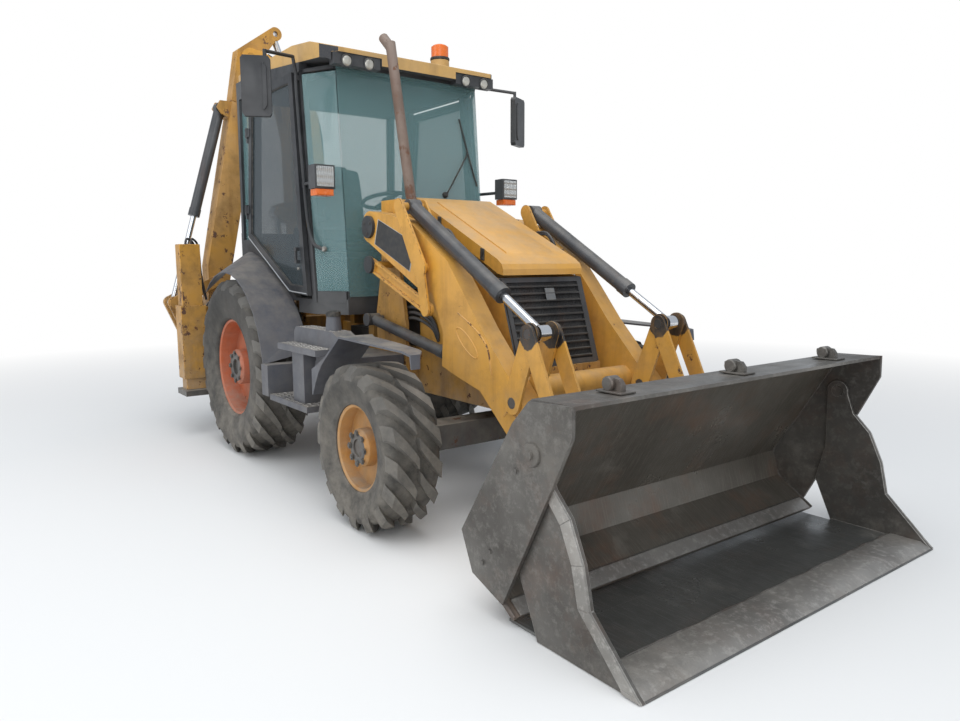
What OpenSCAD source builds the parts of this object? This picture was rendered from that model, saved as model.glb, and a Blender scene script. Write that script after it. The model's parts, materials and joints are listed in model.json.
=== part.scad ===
// Backhoe loader, standing with its loader bucket on the ground and its digging arm
// folded up and turned to the machine's right.
// +X points forward, +Y to the machine's left, +Z up. Millimetres.
// Inside the modules X is measured from the rear axle; move_in puts the origin
// under the middle of the whole machine.

/* [Wheels] */
// Distance between the axles
wheelbase = 2170; // [2100:10:2250]
// Radius of a rear tyre out to its lugs
rear_tyre_r = 690; // [670:5:700]
// Width of a rear tyre
rear_tyre_w = 430; // [400:5:440]
// Sideways place of a rear tyre's middle
rear_wheel_y = 890; // [885:5:900]
// Radius of a rear rim at its flange
rear_rim_r = 378; // [360:2:390]
// Radius of a front tyre out to its lugs
front_tyre_r = 475; // [450:5:480]
// Width of a front tyre
front_tyre_w = 340; // [320:5:350]
// Sideways place of a front tyre's middle
front_wheel_y = 990; // [980:5:1000]
// Radius of a front rim at its flange
front_rim_r = 249; // [240:1:255]
// Sideways place of the steering pins
kingpin_y = 790; // [780:5:800]
// Lugs on each half of a rear tyre
rear_lugs = 20; // [16:1:22]
// Lugs on each half of a front tyre
front_lugs = 16; // [14:1:20]
// Height of a lug above its tyre's carcass
lug_h = 30; // [20:1:36]
// Width of a lug round the tyre
lug_w = 62; // [50:1:70]
// Slant of the lugs from the axle's direction, in degrees
lug_slant = 28; // [20:1:35]

/* [Chassis] */
// Half width over the chassis rails
rail_y = 330; // [310:5:340]
// Thickness of a chassis rail
rail_t = 25; // [15:1:30]
// Height of the rails' lower edge
rail_low = 640; // [620:5:660]
// Height of the rails' upper edge
rail_top = 940; // [900:5:980]
// Thickness of a tower plate
tower_t = 25; // [20:1:30]

/* [Bonnet] */
// Half width of the bonnet
bonnet_y = 315; // [300:1:320]
// Thickness of the bonnet's sheet
sheet = 12; // [8:1:14]

/* [Cab] */
// Half width of the cab's frame
cab_y = 745; // [730:1:750]
// Height of the cab's floor
floor_z = 1230; // [1220:5:1240]
// Thickness of a door
door_t = 34; // [28:1:36]
// Thickness of a glass pane
glass_t = 8; // [5:1:10]

/* [Loader] */
// Sideways place of a loader arm's middle plane
arm_y = 500; // [498:1:502]
// Width of a loader arm
arm_w = 120; // [116:1:122]
// Thickness of an arm's side plate
arm_plate = 15; // [10:1:16]
// Thickness of a lever or link plate
lever_t = 15; // [12:1:16]
// Gap between a moving plate and its neighbour
side_gap = 5; // [4:0.5:6]
// Radial play of a pin in its bore
play = 0.4; // [0.2:0.1:0.6]
// Radius of a lift ram's barrel
lift_r = 36; // [32:1:36]
// Radius of a tilt ram's barrel
tilt_r = 46; // [40:1:48]
// Radius of a ram's rod
rod_r = 25; // [20:1:28]

/* [Bucket] */
// Half width of the loader bucket
bucket_y = 1175; // [1150:5:1200]
// Thickness of the bucket's plates
bucket_t = 18; // [14:1:20]

/* [Digging arm] */
// Distance from the rear axle back to the slewing axis
slew_back = 1360; // [1350:5:1370]
// Sideways place of the slewing axis as parked
slew_y = 500; // [480:5:520]
// Width of the boom
boom_w = 220; // [210:2:230]
// Width of the dipper's head
head_w = 150; // [140:2:156]
// Width of the dipper's sliding case
case_w = 190; // [180:2:200]
// Width of the digging bucket
dig_w = 520; // [480:10:520]

/* [Hidden] */
$fn = 48;
tiny = 0.3;

// Loader pivots as [x, z]
pivot_arm = [1370, 1746];
pivot_post = [2053, 1481];
link_drop = [55, -250];
pivot_link = pivot_arm + link_drop;
pivot_link_front = pivot_post + link_drop;
pivot_tilt = [1823, 1855];
pivot_lift = [1290, 1120];
lift_eye = [2260, 950];
lever_foot = [2888, 778];
lever_top = [3031, 1153];
bucket_pivot = [3190, 272];
link_foot = [3305, 582];
clam_pivot = [3737, 775];

// Sideways faces of the loader's plates, from the middle outwards
arm_in = arm_y - arm_w / 2;
arm_out = arm_y + arm_w / 2;
lever_out = arm_out + side_gap;
link_out = lever_out + lever_t + side_gap;
lever_in = arm_in - side_gap - lever_t;
link_in = lever_in - side_gap - lever_t;
post_out = link_out + 10;
post_in = arm_in - 7.5 - lever_t;
tower_in = 405;

// Digging arm pivots as [u, z], u measured outwards from the slewing axis
boom_foot = [360, 735];
boom_nose = [830, 3420];
boom_ram_foot = [500, 430];
boom_ram_eye = [600, 2000];
dipper_ram_foot = [100, 2400];
dipper_tail = [569, 3675];
bucket_ram_foot = [1112, 2937];
lever_pivot = [1228, 1354];
link_joint = [1633, 1147];
dig_pivot = [1280, 1120];
dig_link_foot = [1516, 841];

// Ends of the machine, and the shift that centres it
front_x = 4293;
rear_x = -slew_back - dig_w / 2;
move_x = -(front_x + rear_x) / 2;

rear_hub_z = rear_tyre_r;
front_hub_z = front_tyre_r;

module move_in() {
    translate([move_x, 0, 0]) children();
}

module both() {
    children();
    mirror([0, 1, 0]) children();
}

// A flat outline in X and Z, thick from y0 to y1
module xz(y0, y1) {
    translate([0, y1, 0]) rotate([90, 0, 0]) linear_extrude(y1 - y0) children();
}

// A flat outline in Y and Z, thick from x0 to x1
module yz(x0, x1) {
    translate([x0, 0, 0]) rotate([90, 0, 90]) linear_extrude(x1 - x0) children();
}

// A flat outline in X and Y, thick from z0 to z1
module xy(z0, z1) {
    translate([0, 0, z0]) linear_extrude(z1 - z0) children();
}

module box(a, b) {
    translate(a) cube(b - a);
}

// A round bar across the machine at [x, z]
module pin(p, r, y0, y1) {
    translate([p[0], y1, p[1]]) rotate([90, 0, 0]) cylinder(r = r, h = y1 - y0);
}

function direction(p, q) = atan2(q[1] - p[1], q[0] - p[0]);
function span(p, q) = norm(q - p);
function along(p, q, d) = p + (q - p) / span(p, q) * d;
function across(p, q, d, s) = along(p, q, d) + [-(q[1] - p[1]), q[0] - p[0]] / span(p, q) * s;

// A flat link outline with round ends
module link2(p, q, rp, rq) {
    a = direction(p, q);
    t = acos((rp - rq) / span(p, q));
    // The straight sides run a little inside the rounds, so that they cross them cleanly
    rp_in = rp - 0.05;
    rq_in = rq - 0.05;
    translate(p) circle(rp);
    translate(q) circle(rq);
    polygon([p + rp_in * [cos(a + t), sin(a + t)], q + rq_in * [cos(a + t), sin(a + t)],
        q + rq_in * [cos(a - t), sin(a - t)], p + rp_in * [cos(a - t), sin(a - t)]]);
}

// A square bar between two points in space
module bar(p, q, w, d) {
    v = q - p;
    translate(p) rotate([0, acos(v[2] / norm(v)), atan2(v[1], v[0])])
        translate([-w / 2, -d / 2, 0]) cube([w, d, norm(v)]);
}

// A round bar between two points in space
module tube(p, q, r) {
    v = q - p;
    translate(p) rotate([0, acos(v[2] / norm(v)), atan2(v[1], v[0])]) cylinder(r = r, h = norm(v));
}

// Places a piece drawn along +X with its start at p, aimed at q, in the plane at y
module aim(p, q, y) {
    translate([p[0], y, p[1]]) rotate([0, -direction(p, q), 0]) children();
}

// A ram's barrel: an eye at the start, a bored tube and a gland
module barrel(r, len, eye_r, eye_w, pin_r, bore_r) {
    difference() {
        union() {
            rotate([0, 90, 0]) cylinder(r = r, h = len);
            translate([len - 70, 0, 0]) rotate([0, 90, 0]) cylinder(r = r + 4, h = 70);
            translate([0, eye_w / 2, 0]) rotate([90, 0, 0]) cylinder(r = eye_r, h = eye_w);
        }
        translate([0, eye_w, 0]) rotate([90, 0, 0]) cylinder(r = pin_r + play, h = 2 * eye_w);
        translate([eye_r + 8, 0, 0]) rotate([0, 90, 0]) cylinder(r = bore_r, h = len);
        for (s = [-1, 1])
            translate([-eye_r - 1, s * (eye_w / 2 + 50) - 50, -eye_r - 50])
                cube([2 * eye_r + 1, 100, 2 * eye_r + 100]);
    }
}

// A ram's rod: its tip at start and its eye at start + len
module rod(r, start, len, eye_r, eye_w, pin_r) {
    difference() {
        union() {
            translate([start, 0, 0]) rotate([0, 90, 0]) cylinder(r = r, h = len - start);
            translate([len, eye_w / 2, 0]) rotate([90, 0, 0]) cylinder(r = eye_r, h = eye_w);
        }
        translate([len, eye_w, 0]) rotate([90, 0, 0]) cylinder(r = pin_r, h = 2 * eye_w);
    }
}

// Chassis with the loader towers
tower_outline = [[1210, 700], [1600, 700], [1600, 1100], [1510, 1560], [1455, 1800], [1420, 1850],
    [1330, 1850], [1300, 1780], [1290, 1500], [1225, 1230], [1210, 1180]];

arm_pin_r = 32;
link_pin_r = 22;
lift_pin_r = 25;
cross_top = 760;
axle_tube_r = 110;
// Towing eye: place, height, thickness and bore radius
nose_x = 2650;
tow_x = 2700;
tow_z = 640;
tow_t = 40;
tow_r = 22;
module chassis() {
    color("orange") {
        both() {
            difference() {
                xz(rail_y - rail_t, rail_y) polygon([[-790, rail_low], [2380, rail_low], [nose_x, 560],
                    [nose_x, 900], [2435, 900], [2435, rail_top], [-790, rail_top]]);
                pin([0, rear_hub_z], axle_tube_r + tiny, 0, 400);
            }
            difference() {
                xz(tower_in, tower_in + tower_t) polygon(tower_outline);
                pin(pivot_arm, arm_pin_r + play, 300, 500);
                pin(pivot_link, link_pin_r + play, 300, 500);
                pin(pivot_lift, lift_pin_r + play, 300, 500);
            }
            box([1230, rail_y, 720], [1580, tower_in, 900]);
        }
        for (x = [-700, 350, 1250, 1700, 2130])
            box([x, -rail_y + rail_t, 660], [x + 80, rail_y - rail_t, cross_top]);
        box([2400, -rail_y + rail_t, 600], [nose_x, rail_y - rail_t, 900]);
        // Towing eye
        difference() {
            xy(tow_z, tow_z + tow_t) union() {
                translate([tow_x, 0]) circle(48);
                polygon([[nose_x - 10, -75], [tow_x, -48], [tow_x, 48], [nose_x - 10, 75]]);
            }
            translate([tow_x, 0, tow_z - 1]) cylinder(r = tow_r, h = tow_t + 2);
        }
        // Cab mounts
        both() for (x = [-500, 900])
            box([x, rail_y - 90, rail_top], [x + 80, rail_y, floor_z]);
    }
}

module drive_train() {
    color("dimgray") {
        box([1350, -270, cross_top], [2150, 270, 1330]);
        box([360, -200, cross_top], [1350, 200, 1000]);
        tube([150, 0, 690], [420, 0, 880], 45);
        // Front axle beam, hung below the rails
        box([wheelbase - 90, -640, front_hub_z - 75], [wheelbase + 90, 640, front_hub_z + 75]);
        box([wheelbase - 40, -120, front_hub_z + 75], [wheelbase + 40, 120, 660]);
        both() {
            box([wheelbase - 60, 640, front_hub_z - 120], [wheelbase + 60, kingpin_y + 55, front_hub_z - 90]);
            box([wheelbase - 60, 640, front_hub_z + 90], [wheelbase + 60, kingpin_y + 55, front_hub_z + 120]);
            box([wheelbase - 60, 610, front_hub_z - 120], [wheelbase + 60, 650, front_hub_z + 120]);
            translate([wheelbase, kingpin_y, front_hub_z - 90]) cylinder(r = 25, h = 15);
            translate([wheelbase, kingpin_y, front_hub_z + 75]) cylinder(r = 25, h = 15);
        }
        // Rear axle, clamped under the rails
        translate([0, -720, rear_hub_z]) rotate([-90, 0, 0]) cylinder(r = axle_tube_r, h = 1440);
        box([-150, -150, rear_hub_z - 180], [180, 150, rear_hub_z + 150]);
        both() pin([0, rear_hub_z], 60, 720, rear_wheel_y + 130);
    }
}

grille_y = 314;
bonnet_hinge = [1450, 1905];
module side_panels() {
    color("orange") {
        both() {
            xz(bonnet_y + 3, bonnet_y + 3 + sheet) polygon([[1620, rail_top], [2440, rail_top], [2440, 905],
                [2636, 905], [2468, 1418], [2410, 1428], [1760, 1700], [1620, 1760]]);
            // Shoulders that carry the bonnet's hinge
            difference() {
                xz(bonnet_y + 5, tower_in) polygon([[1260, 1500], [1400, 1500], [1400, 1700],
                    [1640, 1700], [1640, 1860], [1530, 1860], [1465, 1930], [1260, 1930]]);
                pin(bonnet_hinge, 12 + play, 300, 500);
            }
        }
    }
}

// Slats of the grille, and how far they tip down at the front in degrees
slats = 11;
slat_tilt = 25;
module grille() {
    color("black") difference() {
        xz(-grille_y, grille_y) polygon([[2438, 902], [2640, 902], [2472, 1420], [2438, 1420]]);
        grille_face() box([-18, -grille_y + 30, 30], [60, grille_y - 30, 515]);
    }
    color("black") grille_face() for (k = [0 : slats - 1])
        translate([-12, 0, 30 + (k + 0.5) * 485 / slats]) rotate([0, slat_tilt, 0])
            box([-8, -grille_y + 29, -4], [18, grille_y - 29, 4]);
}

// Stands a piece on the grille's leaning face, X outwards and Z up along the face
module grille_face() {
    translate([2640, 0, 902]) rotate([0, -atan(168 / 518), 0]) children();
}

// Bonnet, a folded sheet that opens from its hinge below the windscreen
crease_y = 190;
module bonnet() {
    color("orange") difference() {
        xz(-bonnet_y, bonnet_y) polygon([[1440, 1890], [1440, 1938], [1560, 1938], [2435, 1530],
            [2478, 1500], [2490, 1470], [2490, 1435], [2440, 1445], [1760, 1770], [1640, 1890]]);
        xz(-bonnet_y + sheet, bonnet_y - sheet) polygon([[1430, 1880], [1430, 1926], [1558, 1926],
            [2428, 1520], [2468, 1492], [2478, 1468], [2478, 1420], [2400, 1420]]);
    }
    // Raised middle of the bonnet's top
    color("orange") xz(-crease_y, crease_y) polygon([[1620, 1905], [1645, 1907], [2360, 1573.5],
        [2385, 1548], [2360, 1560], [1640, 1896]]);
    color("orange") pin(bonnet_hinge, 12, -bonnet_y - 50, bonnet_y + 50);
}

stack_y = -362;
module exhaust() {
    color("saddlebrown") difference() {
        union() {
            translate([1590, stack_y, 1860]) cylinder(r = 36, h = 40);
            tube([1590, stack_y, 1885], [1350, stack_y, 2960], 34);
            tube([1358, stack_y, 2924], [1262, stack_y, 3010], 33);
        }
        tube([1310, stack_y, 2967], [1240, stack_y, 3030], 28);
    }
}

module tanks() {
    color("slategray") {
        both() {
            box([880, tower_in + tower_t + 5, 560], [1400, 860, 900]);
            box([860, 860, 560], [1480, 1100, 600]);
            box([1060, 860, 940], [1398, 1110, 980 - tiny]);
            box([1180, 860, 600], [1360, 1060, 940]);
            box([1060, 850, 880], [1376, 861, 945]);
        }
        // Filler neck on the platform
        translate([1535, -925, 1085 + tiny]) cylinder(r1 = 52, r2 = 42, h = 100);
        box([1400, -860, 700], [1580, -440, 900]);
        both() box([900, rail_y, 600], [1380, 440, 690]);
    }
}

fender_r = rear_tyre_r + 62;
// Inner edge of a rear fender along the cab: [angle about the axle, x, z]
fender_in = [[8, 745, 860], [20, 660, 1060], [35, 500, 1230], [50, 330, 1345], [65, 150, 1428],
    [80, -60, 1530], [95, -290, 1594], [110, -400, 1603], [129, -520, 1575]];
fender_x = [for (s = fender_in) [s[0], s[1]]];
fender_z = [for (s = fender_in) [s[0], s[2]]];
fender_out_y = 1097;
fender_steps = 12;
// A point on the fender's outer (0) or inner (1) edge at a station, on its top (0) or underside (1)
function fender_point(k, edge, low) =
    let (a = 8 + k * 121 / fender_steps, c = [0, rear_hub_z],
        q = edge == 0 ? c + fender_r * [cos(a), sin(a)] : [lookup(a, fender_x), lookup(a, fender_z)],
        d = q - low * 8 * (q - c) / norm(q - c))
    [d[0], edge == 0 ? fender_out_y : cab_y + tiny, d[1]];

module rear_fender() {
    n = fender_steps;
    polyhedron([for (k = [0 : n], edge = [0, 1], low = [0, 1]) fender_point(k, edge, low)],
        [for (k = [0 : n - 1]) each let (o = 4 * k) [[o, o + 2, o + 6], [o, o + 6, o + 4],
            [o + 1, o + 7, o + 3], [o + 1, o + 5, o + 7], [o, o + 4, o + 5], [o, o + 5, o + 1],
            [o + 2, o + 3, o + 7], [o + 2, o + 7, o + 6]], [0, 1, 3], [0, 3, 2],
            [4 * n, 4 * n + 3, 4 * n + 1], [4 * n, 4 * n + 2, 4 * n + 3]]);
}

module fenders() {
    color("slategray") both() {
        rear_fender();
        // Apron from the rear fender down to the steps
        box([fender_r - 14, 800, 580], [855, 1108, 800]);
        // Platform between the steps and the front fender
        xz(860, 990) polygon([[1060, 980], [1060, 1050], [1095, 1085], [1640, 1085], [1860, 1000],
            [1800, 955], [1735, 905], [1690, 860], [1590, 700], [1380, 700], [1380, 860], [1400, 900], [1400, 980]]);
        box([1400, 860, 940], [1650, 1110, 980]);
        // Front fender, narrower towards its nose
        intersection() {
            translate([wheelbase, 0, 0]) xz(860, 1110) polygon([[-580, 700], [-570, 700],
                [-530, 775], [-480, 850], [-435, 900], [-370, 950], [-196, 1080], [496, 1062],
                [570, 1050], [582, 988], [590, 988], [581, 1061], [496, 1074], [-200, 1092],
                [-378, 962], [-490, 900], [-580, 860]]);
            xy(600, 1200) polygon([[1500, 860], [1900, 860], [2080, 935], [2430, 965], [2700, 1010],
                [2760, 1060], [2760, 1110], [1500, 1110]]);
        }
    }
}

// Cab
roof_low_rear = [-100, 2990];
roof_low_front = [1080, 2870];
function roof_z(x) = roof_low_front[1] + (roof_low_front[0] - x)
    * (roof_low_rear[1] - roof_low_front[1]) / (roof_low_front[0] - roof_low_rear[0]);
// Corners of the glass in plan: on the door pillar and beside the windscreen, low and high
corner_low = [[903, cab_y - 12], [1124, 600]];
corner_high = [[752, cab_y - 12], [1002, 600]];
sill_z = 1310;
bar_z = 1765;
door_hinge_low = [-315, 1693];
door_hinge_top = [-189, 2683];
lean = (door_hinge_top[0] - door_hinge_low[0]) / (door_hinge_top[1] - door_hinge_low[1]);
cab_base = floor_z + 20;

hinge_z = [1900, 2500];
cab_plan = [[-560, -cab_y], [890, -cab_y], [1120, -605], [1120, 605], [890, cab_y], [-560, cab_y]];
module cab_frame() {
    color("#202225") difference() {
        union() {
            xy(floor_z, cab_base) polygon(cab_plan);
            // Skirt below the doors and the front corners
            difference() {
                xy(floor_z - 85, floor_z) polygon([[600, -cab_y], [890, -cab_y], [1120, -605], [1120, 605],
                    [890, cab_y], [600, cab_y]]);
                xy(floor_z - 90, floor_z) polygon([[500, -cab_y + 45], [860, -cab_y + 45],
                    [1080, -590], [1080, 590], [860, cab_y - 45], [500, cab_y - 45]]);
            }
            box([-560, -cab_y, cab_base], [-520, cab_y, 1760]);
            // Front sill and the bar across the windscreen
            box([1080, -600, cab_base], [1120, 600, sill_z]);
            box([1060, -584, bar_z - 24], [1080, 584, bar_z - 2]);
            both() {
                bar_between([corner_low[0][0] - 2, corner_low[0][1] - 8, sill_z - 1],
                    [corner_low[1][0] - 20, corner_low[1][1] + 3, sill_z - 1], 24, sill_z - floor_z);
                bar_between([at_height(0, bar_z)[0] - 6, at_height(0, bar_z)[1] - 16, bar_z],
                    [at_height(1, bar_z)[0] - 12, at_height(1, bar_z)[1] - 13, bar_z], 16, 26);
                xz(cab_y - 45, cab_y) polygon([[-560, cab_base], [560, cab_base], [-290, 1700], [-560, 1700]]);
                xz(cab_y - 60, cab_y) union() {
                    polygon([[835, floor_z], [905, floor_z], [735, 2850], [665, 2850]]);
                    polygon([[-360, floor_z], [-300, floor_z], [-130, 2850], [-190, 2850]]);
                    polygon([[-565, floor_z], [-515, floor_z], [-475, 2850], [-525, 2850]]);
                    polygon([[-530, 2850], [740, 2850], [740, roof_z(740) - tiny], [-100, roof_z(-100) - tiny],
                        [-530, roof_z(-100) - tiny]]);
                }
                bar_between([715, cab_y - 32, 2862], [985, 592, 2852], 30, 26);
                // Hinge plates of the door
                for (z = hinge_z)
                    translate([door_hinge_low[0] + (z - door_hinge_low[1]) * lean, cab_y - 1, z])
                        rotate([0, atan(lean), 0]) translate([-13, 0, -36 - tiny]) cube([26, door_t + 12, 36]);
            }
            xz(-600, 600) polygon([[960, 2835], [1000, 2835], [1000, roof_z(1000) - tiny], [960, roof_z(960) - tiny]]);
            box([-530, -cab_y + 60, 2850], [-480, cab_y - 60, 2900]);
            both() {
                xz(640, 655) polygon([[-560, cab_base], [560, cab_base], [260, 1415], [-560, 1415]]);
                box([-560, 640, 1405], [275, cab_y - 45, 1415]);
            }
        }
        // Wheel arches
        both() pin([0, rear_hub_z], rear_tyre_r + 12, 655, 800);
    }
}

// Point at a height on a corner glass's edge beside the door (0) or the windscreen (1), as [x, y]
function at_height(side, z) = corner_low[side] + (corner_high[side] - corner_low[side]) * (z - sill_z)
    / (2850 - sill_z);

// A level bar between two points, w thick and h high, its top at their height
module bar_between(p, q, w, h) {
    v = q - p;
    translate(p) rotate([0, 0, atan2(v[1], v[0])]) translate([0, -w / 2, -h]) cube([norm([v[0], v[1]]), w, h]);
}

beacon = [960, 300];
roof_y = 735;
roof_corner = 130;
lamp_y = [410, 580];
module cab_roof() {
    color("gold") {
        difference() {
            intersection() {
                xz(-roof_y, roof_y) polygon([[-600, roof_z(-100) + 10], [-530, roof_z(-100)],
                    [-100, roof_z(-100)], [1080, roof_z(1080)], [1110, 2850], [1150, 2855], [1150, 2938],
                    [900, 3010], [400, 3070], [-100, 3095], [-500, 3095], [-620, 3050]]);
                yz(-700, 1200) polygon([[-roof_y, 2800], [roof_y, 2800], [roof_y, 3045], [roof_y - 60, 3075],
                    [roof_y - 200, 3096], [200 - roof_y, 3096], [60 - roof_y, 3075], [-roof_y, 3045]]);
                xy(2800, 3200) polygon([[-620, roof_corner - roof_y], [roof_corner - 620, -roof_y],
                    [1040, -roof_y], [1150, 95 - roof_y], [1150, roof_y - 95], [1040, roof_y],
                    [roof_corner - 620, roof_y], [-620, roof_y - roof_corner]]);
            }
            // Pockets for the work lamps
            both() box([1060, lamp_y[0] - 95, 2800], [1200, lamp_y[1] + 95, 2905]);
        }
        translate([beacon[0], beacon[1], 2950]) cylinder(r = 70, h = 72);
    }
}

module cab_glass() {
    color("teal", 0.4) {
        xz(-592, 592) polygon([[1120 + tiny, sill_z - 40], [1120 + tiny + glass_t, sill_z - 40],
            [1128.3 + glass_t - 8, sill_z], [1002 + glass_t, 2850], [1001, 2850], [1120 + tiny, sill_z]]);
        // Panes round the front corners
        both() polyhedron([for (k = [0, 1], z = [0, 1], side = [0, 1])
            let (c = (z == 0 ? corner_low : corner_high)[side])
                [c[0] - k * glass_t * 0.5, c[1] - k * glass_t * 0.87, z == 0 ? sill_z : 2850 - 30]],
            [[0, 1, 3], [0, 3, 2], [4, 7, 5], [4, 6, 7], [0, 5, 1], [0, 4, 5], [2, 3, 7], [2, 7, 6],
            [0, 2, 6], [0, 6, 4], [1, 5, 7], [1, 7, 3]]);
        box([-520 + tiny, -cab_y + 60 + tiny, 1760 + tiny], [-520 + tiny + glass_t, cab_y - 60 - tiny, 2850 - tiny]);
        both() xz(cab_y - 30, cab_y - 30 + glass_t) polygon([[-503.1, 1700 + tiny],
            [-311, 1700 + tiny], [-190.4, 2850 - tiny], [-474.7, 2850 - tiny]]);
    }
}

// A door's outline in X and Z, in front of its hinge line
door_pts = [[-290, 1712], [525, 1290], [840, 1275], [800, 1600], [690, 2840], [-145, 2840]];
door_hole = [[-225, 1745], [545, 1345], [775, 1335], [742, 1600], [630, 2780], [-95, 2780]];
door_y = cab_y + 5;

module door_shell() {
    color("#202225") {
        difference() {
            xz(door_y, door_y + door_t) polygon(door_pts);
            xz(door_y - 1, door_y + door_t + 1) polygon(door_hole);
        }
        // Handle
        box([690, door_y + door_t - 1, 1505], [730, door_y + door_t + 28, 1530]);
        box([690, door_y + door_t - 1, 1595], [730, door_y + door_t + 28, 1620]);
        box([700, door_y + door_t + 14, 1505], [720, door_y + door_t + 28, 1620]);
        // Hinge knuckles
        for (z = hinge_z)
            translate([door_hinge_low[0] + (z - door_hinge_low[1]) * lean, door_y + door_t + 6, z])
                rotate([0, atan(lean), 0]) cylinder(r = 14, h = 80);
        for (z = hinge_z)
            translate([door_hinge_low[0] + (z - door_hinge_low[1]) * lean, door_y + 4, z + 10])
                cube([60, door_t + 4, 60]);
    }
}

module door_pane() {
    color("teal", 0.4) xz(door_y + 12, door_y + 12 + glass_t) offset(delta = -tiny) polygon(door_hole);
}

module door_left() {
    door_shell();
}

module door_left_glass() {
    door_pane();
}

module door_right() {
    mirror([0, 1, 0]) door_shell();
}

module door_right_glass() {
    mirror([0, 1, 0]) door_pane();
}

module seat() {
    color("#33363a") {
        translate([60, 0, cab_base]) cylinder(r = 160, h = 300);
        box([-200, -250, cab_base + 300], [300, 250, cab_base + 430]);
        xz(-230, 230) polygon([[-200, cab_base + 430], [-90, cab_base + 430], [-180, 2350], [-280, 2350]]);
    }
}

module steering_column() {
    color("#2a2c30") {
        box([700, -200, cab_base], [900, 200, 1500]);
        tube([760, 0, 1495], [640, 0, 1990], 40);
        translate([640, 0, 1990]) rotate([0, -14, 0]) rotate_extrude() translate([190, 0]) circle(15, $fn = 16);
        translate([640, 0, 1990]) rotate([0, -14, 0]) box([-190, -15, -10], [190, 15, 10]);
    }
}

mirror_at = [900, 1120];
mirror_turn = 26;
module mirrors() {
    color("#1c1d20") both() {
        translate([mirror_at[0], mirror_at[1], 0]) rotate([0, 0, mirror_turn]) {
            yz(-22, 22) polygon([[-95, 2490], [-80, 2470], [80, 2470], [95, 2490], [95, 2835], [80, 2855],
                [-80, 2855], [-95, 2835]]);
            translate([0, -60, 2500]) cylinder(r = 12, h = 400);
        }
        tube([mirror_at[0] + 26, mirror_at[1] - 54, 2890], [740, 790, 2935], 12);
        tube([740, 790, 2941], [724, cab_y + 14, 2800], 12);
        box([706, cab_y, 2780], [742, cab_y + 22, 2816]);
    }
}

head_z = 2000;
module lamps() {
    color("silver") {
        both() {
            // Work lamps with their housing, in the roof's pocket
            difference() {
                box([1065, lamp_y[0] - 90, 2830], [1140, lamp_y[1] + 90, 2905 - tiny]);
                for (y = lamp_y) translate([1128, y, 2862]) rotate([0, 100, 0]) cylinder(r = 44, h = 40);
            }
            for (y = lamp_y) translate([1110, y, 2862]) rotate([0, 100, 0]) cylinder(r1 = 41, r2 = 40, h = 34);
            // Head lamps over their indicators
            box([1100, 720, head_z], [1200, 865, head_z + 155]);
            box([1105, 730, head_z - 45], [1195, 855, head_z - 3]);
            box([1120, 770, head_z - 5], [1170, 810, head_z + 1]);
            box([770, cab_y, head_z + 40], [802, cab_y + 24, head_z + 80]);
            tube([788, cab_y + 12, head_z + 60], [1110, 800, head_z + 60], 12);
        }
        translate([beacon[0], beacon[1], 3022]) cylinder(r = 65, h = 100);
    }
}

// Rear frame, with its two rails and the housings of the stabiliser legs
frame_x = -950;
leg_w = 180;
leg_out = 1190;
leg_in = leg_out - leg_w;
leg_top = 1670;
foot_z = 350;
module rear_frame() {
    color("orange") difference() {
        union() {
            box([frame_x - 60, -leg_out - 14, 980], [frame_x, leg_out + 14, 1120]);
            box([frame_x - 60, -leg_out - 14, 520], [frame_x, leg_out + 14, 640]);
            box([frame_x - 60, -330, 640], [frame_x, -250, 980]);
            box([frame_x - 60, 250, 640], [frame_x, 330, 980]);
            box([frame_x, -330, 600], [-790 - tiny, 330, 1000]);
            both() box([frame_x - 60, leg_in - 14 - 6, 500], [frame_x + 110, leg_out + 14, 1140]);
        }
        both() box([frame_x - 46, leg_in - 6, 400], [frame_x + 96, leg_out, 1200]);
    }
    // Wear pads that guide the legs
    color("black") both() for (z = [510, 1090]) {
        box([frame_x - 20, leg_in - 6, z], [frame_x + 70, leg_in - tiny, z + 40]);
        box([frame_x - 20, leg_out - 6 + tiny, z], [frame_x + 70, leg_out, z + 40]);
    }
}

module leg() {
    color("orange") {
        box([frame_x - 40, leg_in, foot_z + 50], [frame_x + 90, leg_out - 6, leg_top]);
        box([frame_x - 110, leg_in - 40, foot_z], [frame_x + 150, leg_out + 20, foot_z + 50]);
    }
}

module leg_left() {
    leg();
}

module leg_right() {
    mirror([0, 1, 0]) leg();
}

// Places a piece drawn with +X outwards along the digging arm
module at_slew() {
    translate([-slew_back, slew_y, 0]) rotate([0, 0, -90]) children();
}

carriage_x = frame_x - 60 - play;
module carriage() {
    color("orange") {
        box([carriage_x - 60, slew_y - 300, 500], [carriage_x, slew_y + 300, 1140]);
        difference() {
            union() {
                for (z = [520, 1010]) {
                    translate([-slew_back, slew_y, z]) cylinder(r = 130, h = 80);
                    box([-slew_back, slew_y - 130, z], [carriage_x - 60, slew_y + 130, z + 80]);
                }
            }
            translate([-slew_back, slew_y, 400]) cylinder(r = 45 + play, h = 800);
        }
    }
}

module kingpost() {
    color("orange") at_slew() {
        difference() {
            union() {
                translate([0, 0, 607]) cylinder(r = 110, h = 396);
                box([0, -75, 607], [250, 75, 1003]);
                xz(-75, 75) union() {
                    polygon([[150, 607], [150, 830], [300, 860], [420, 780], [420, 607]]);
                    link2(boom_foot, boom_ram_foot, 75, 50);
                }
            }
            pin(boom_foot, 40 + play, -100, 100);
            xz(-60, 60) union() {
                translate(boom_ram_foot) circle(66);
                polygon([[434, 430], [434, 640], [470, 760], [650, 760], [650, 300], [480, 300]]);
            }
        }
        translate([0, 0, 500]) cylinder(r = 45, h = 600);
        pin(boom_ram_foot, 30, -61, 61);
    }
}

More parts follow.
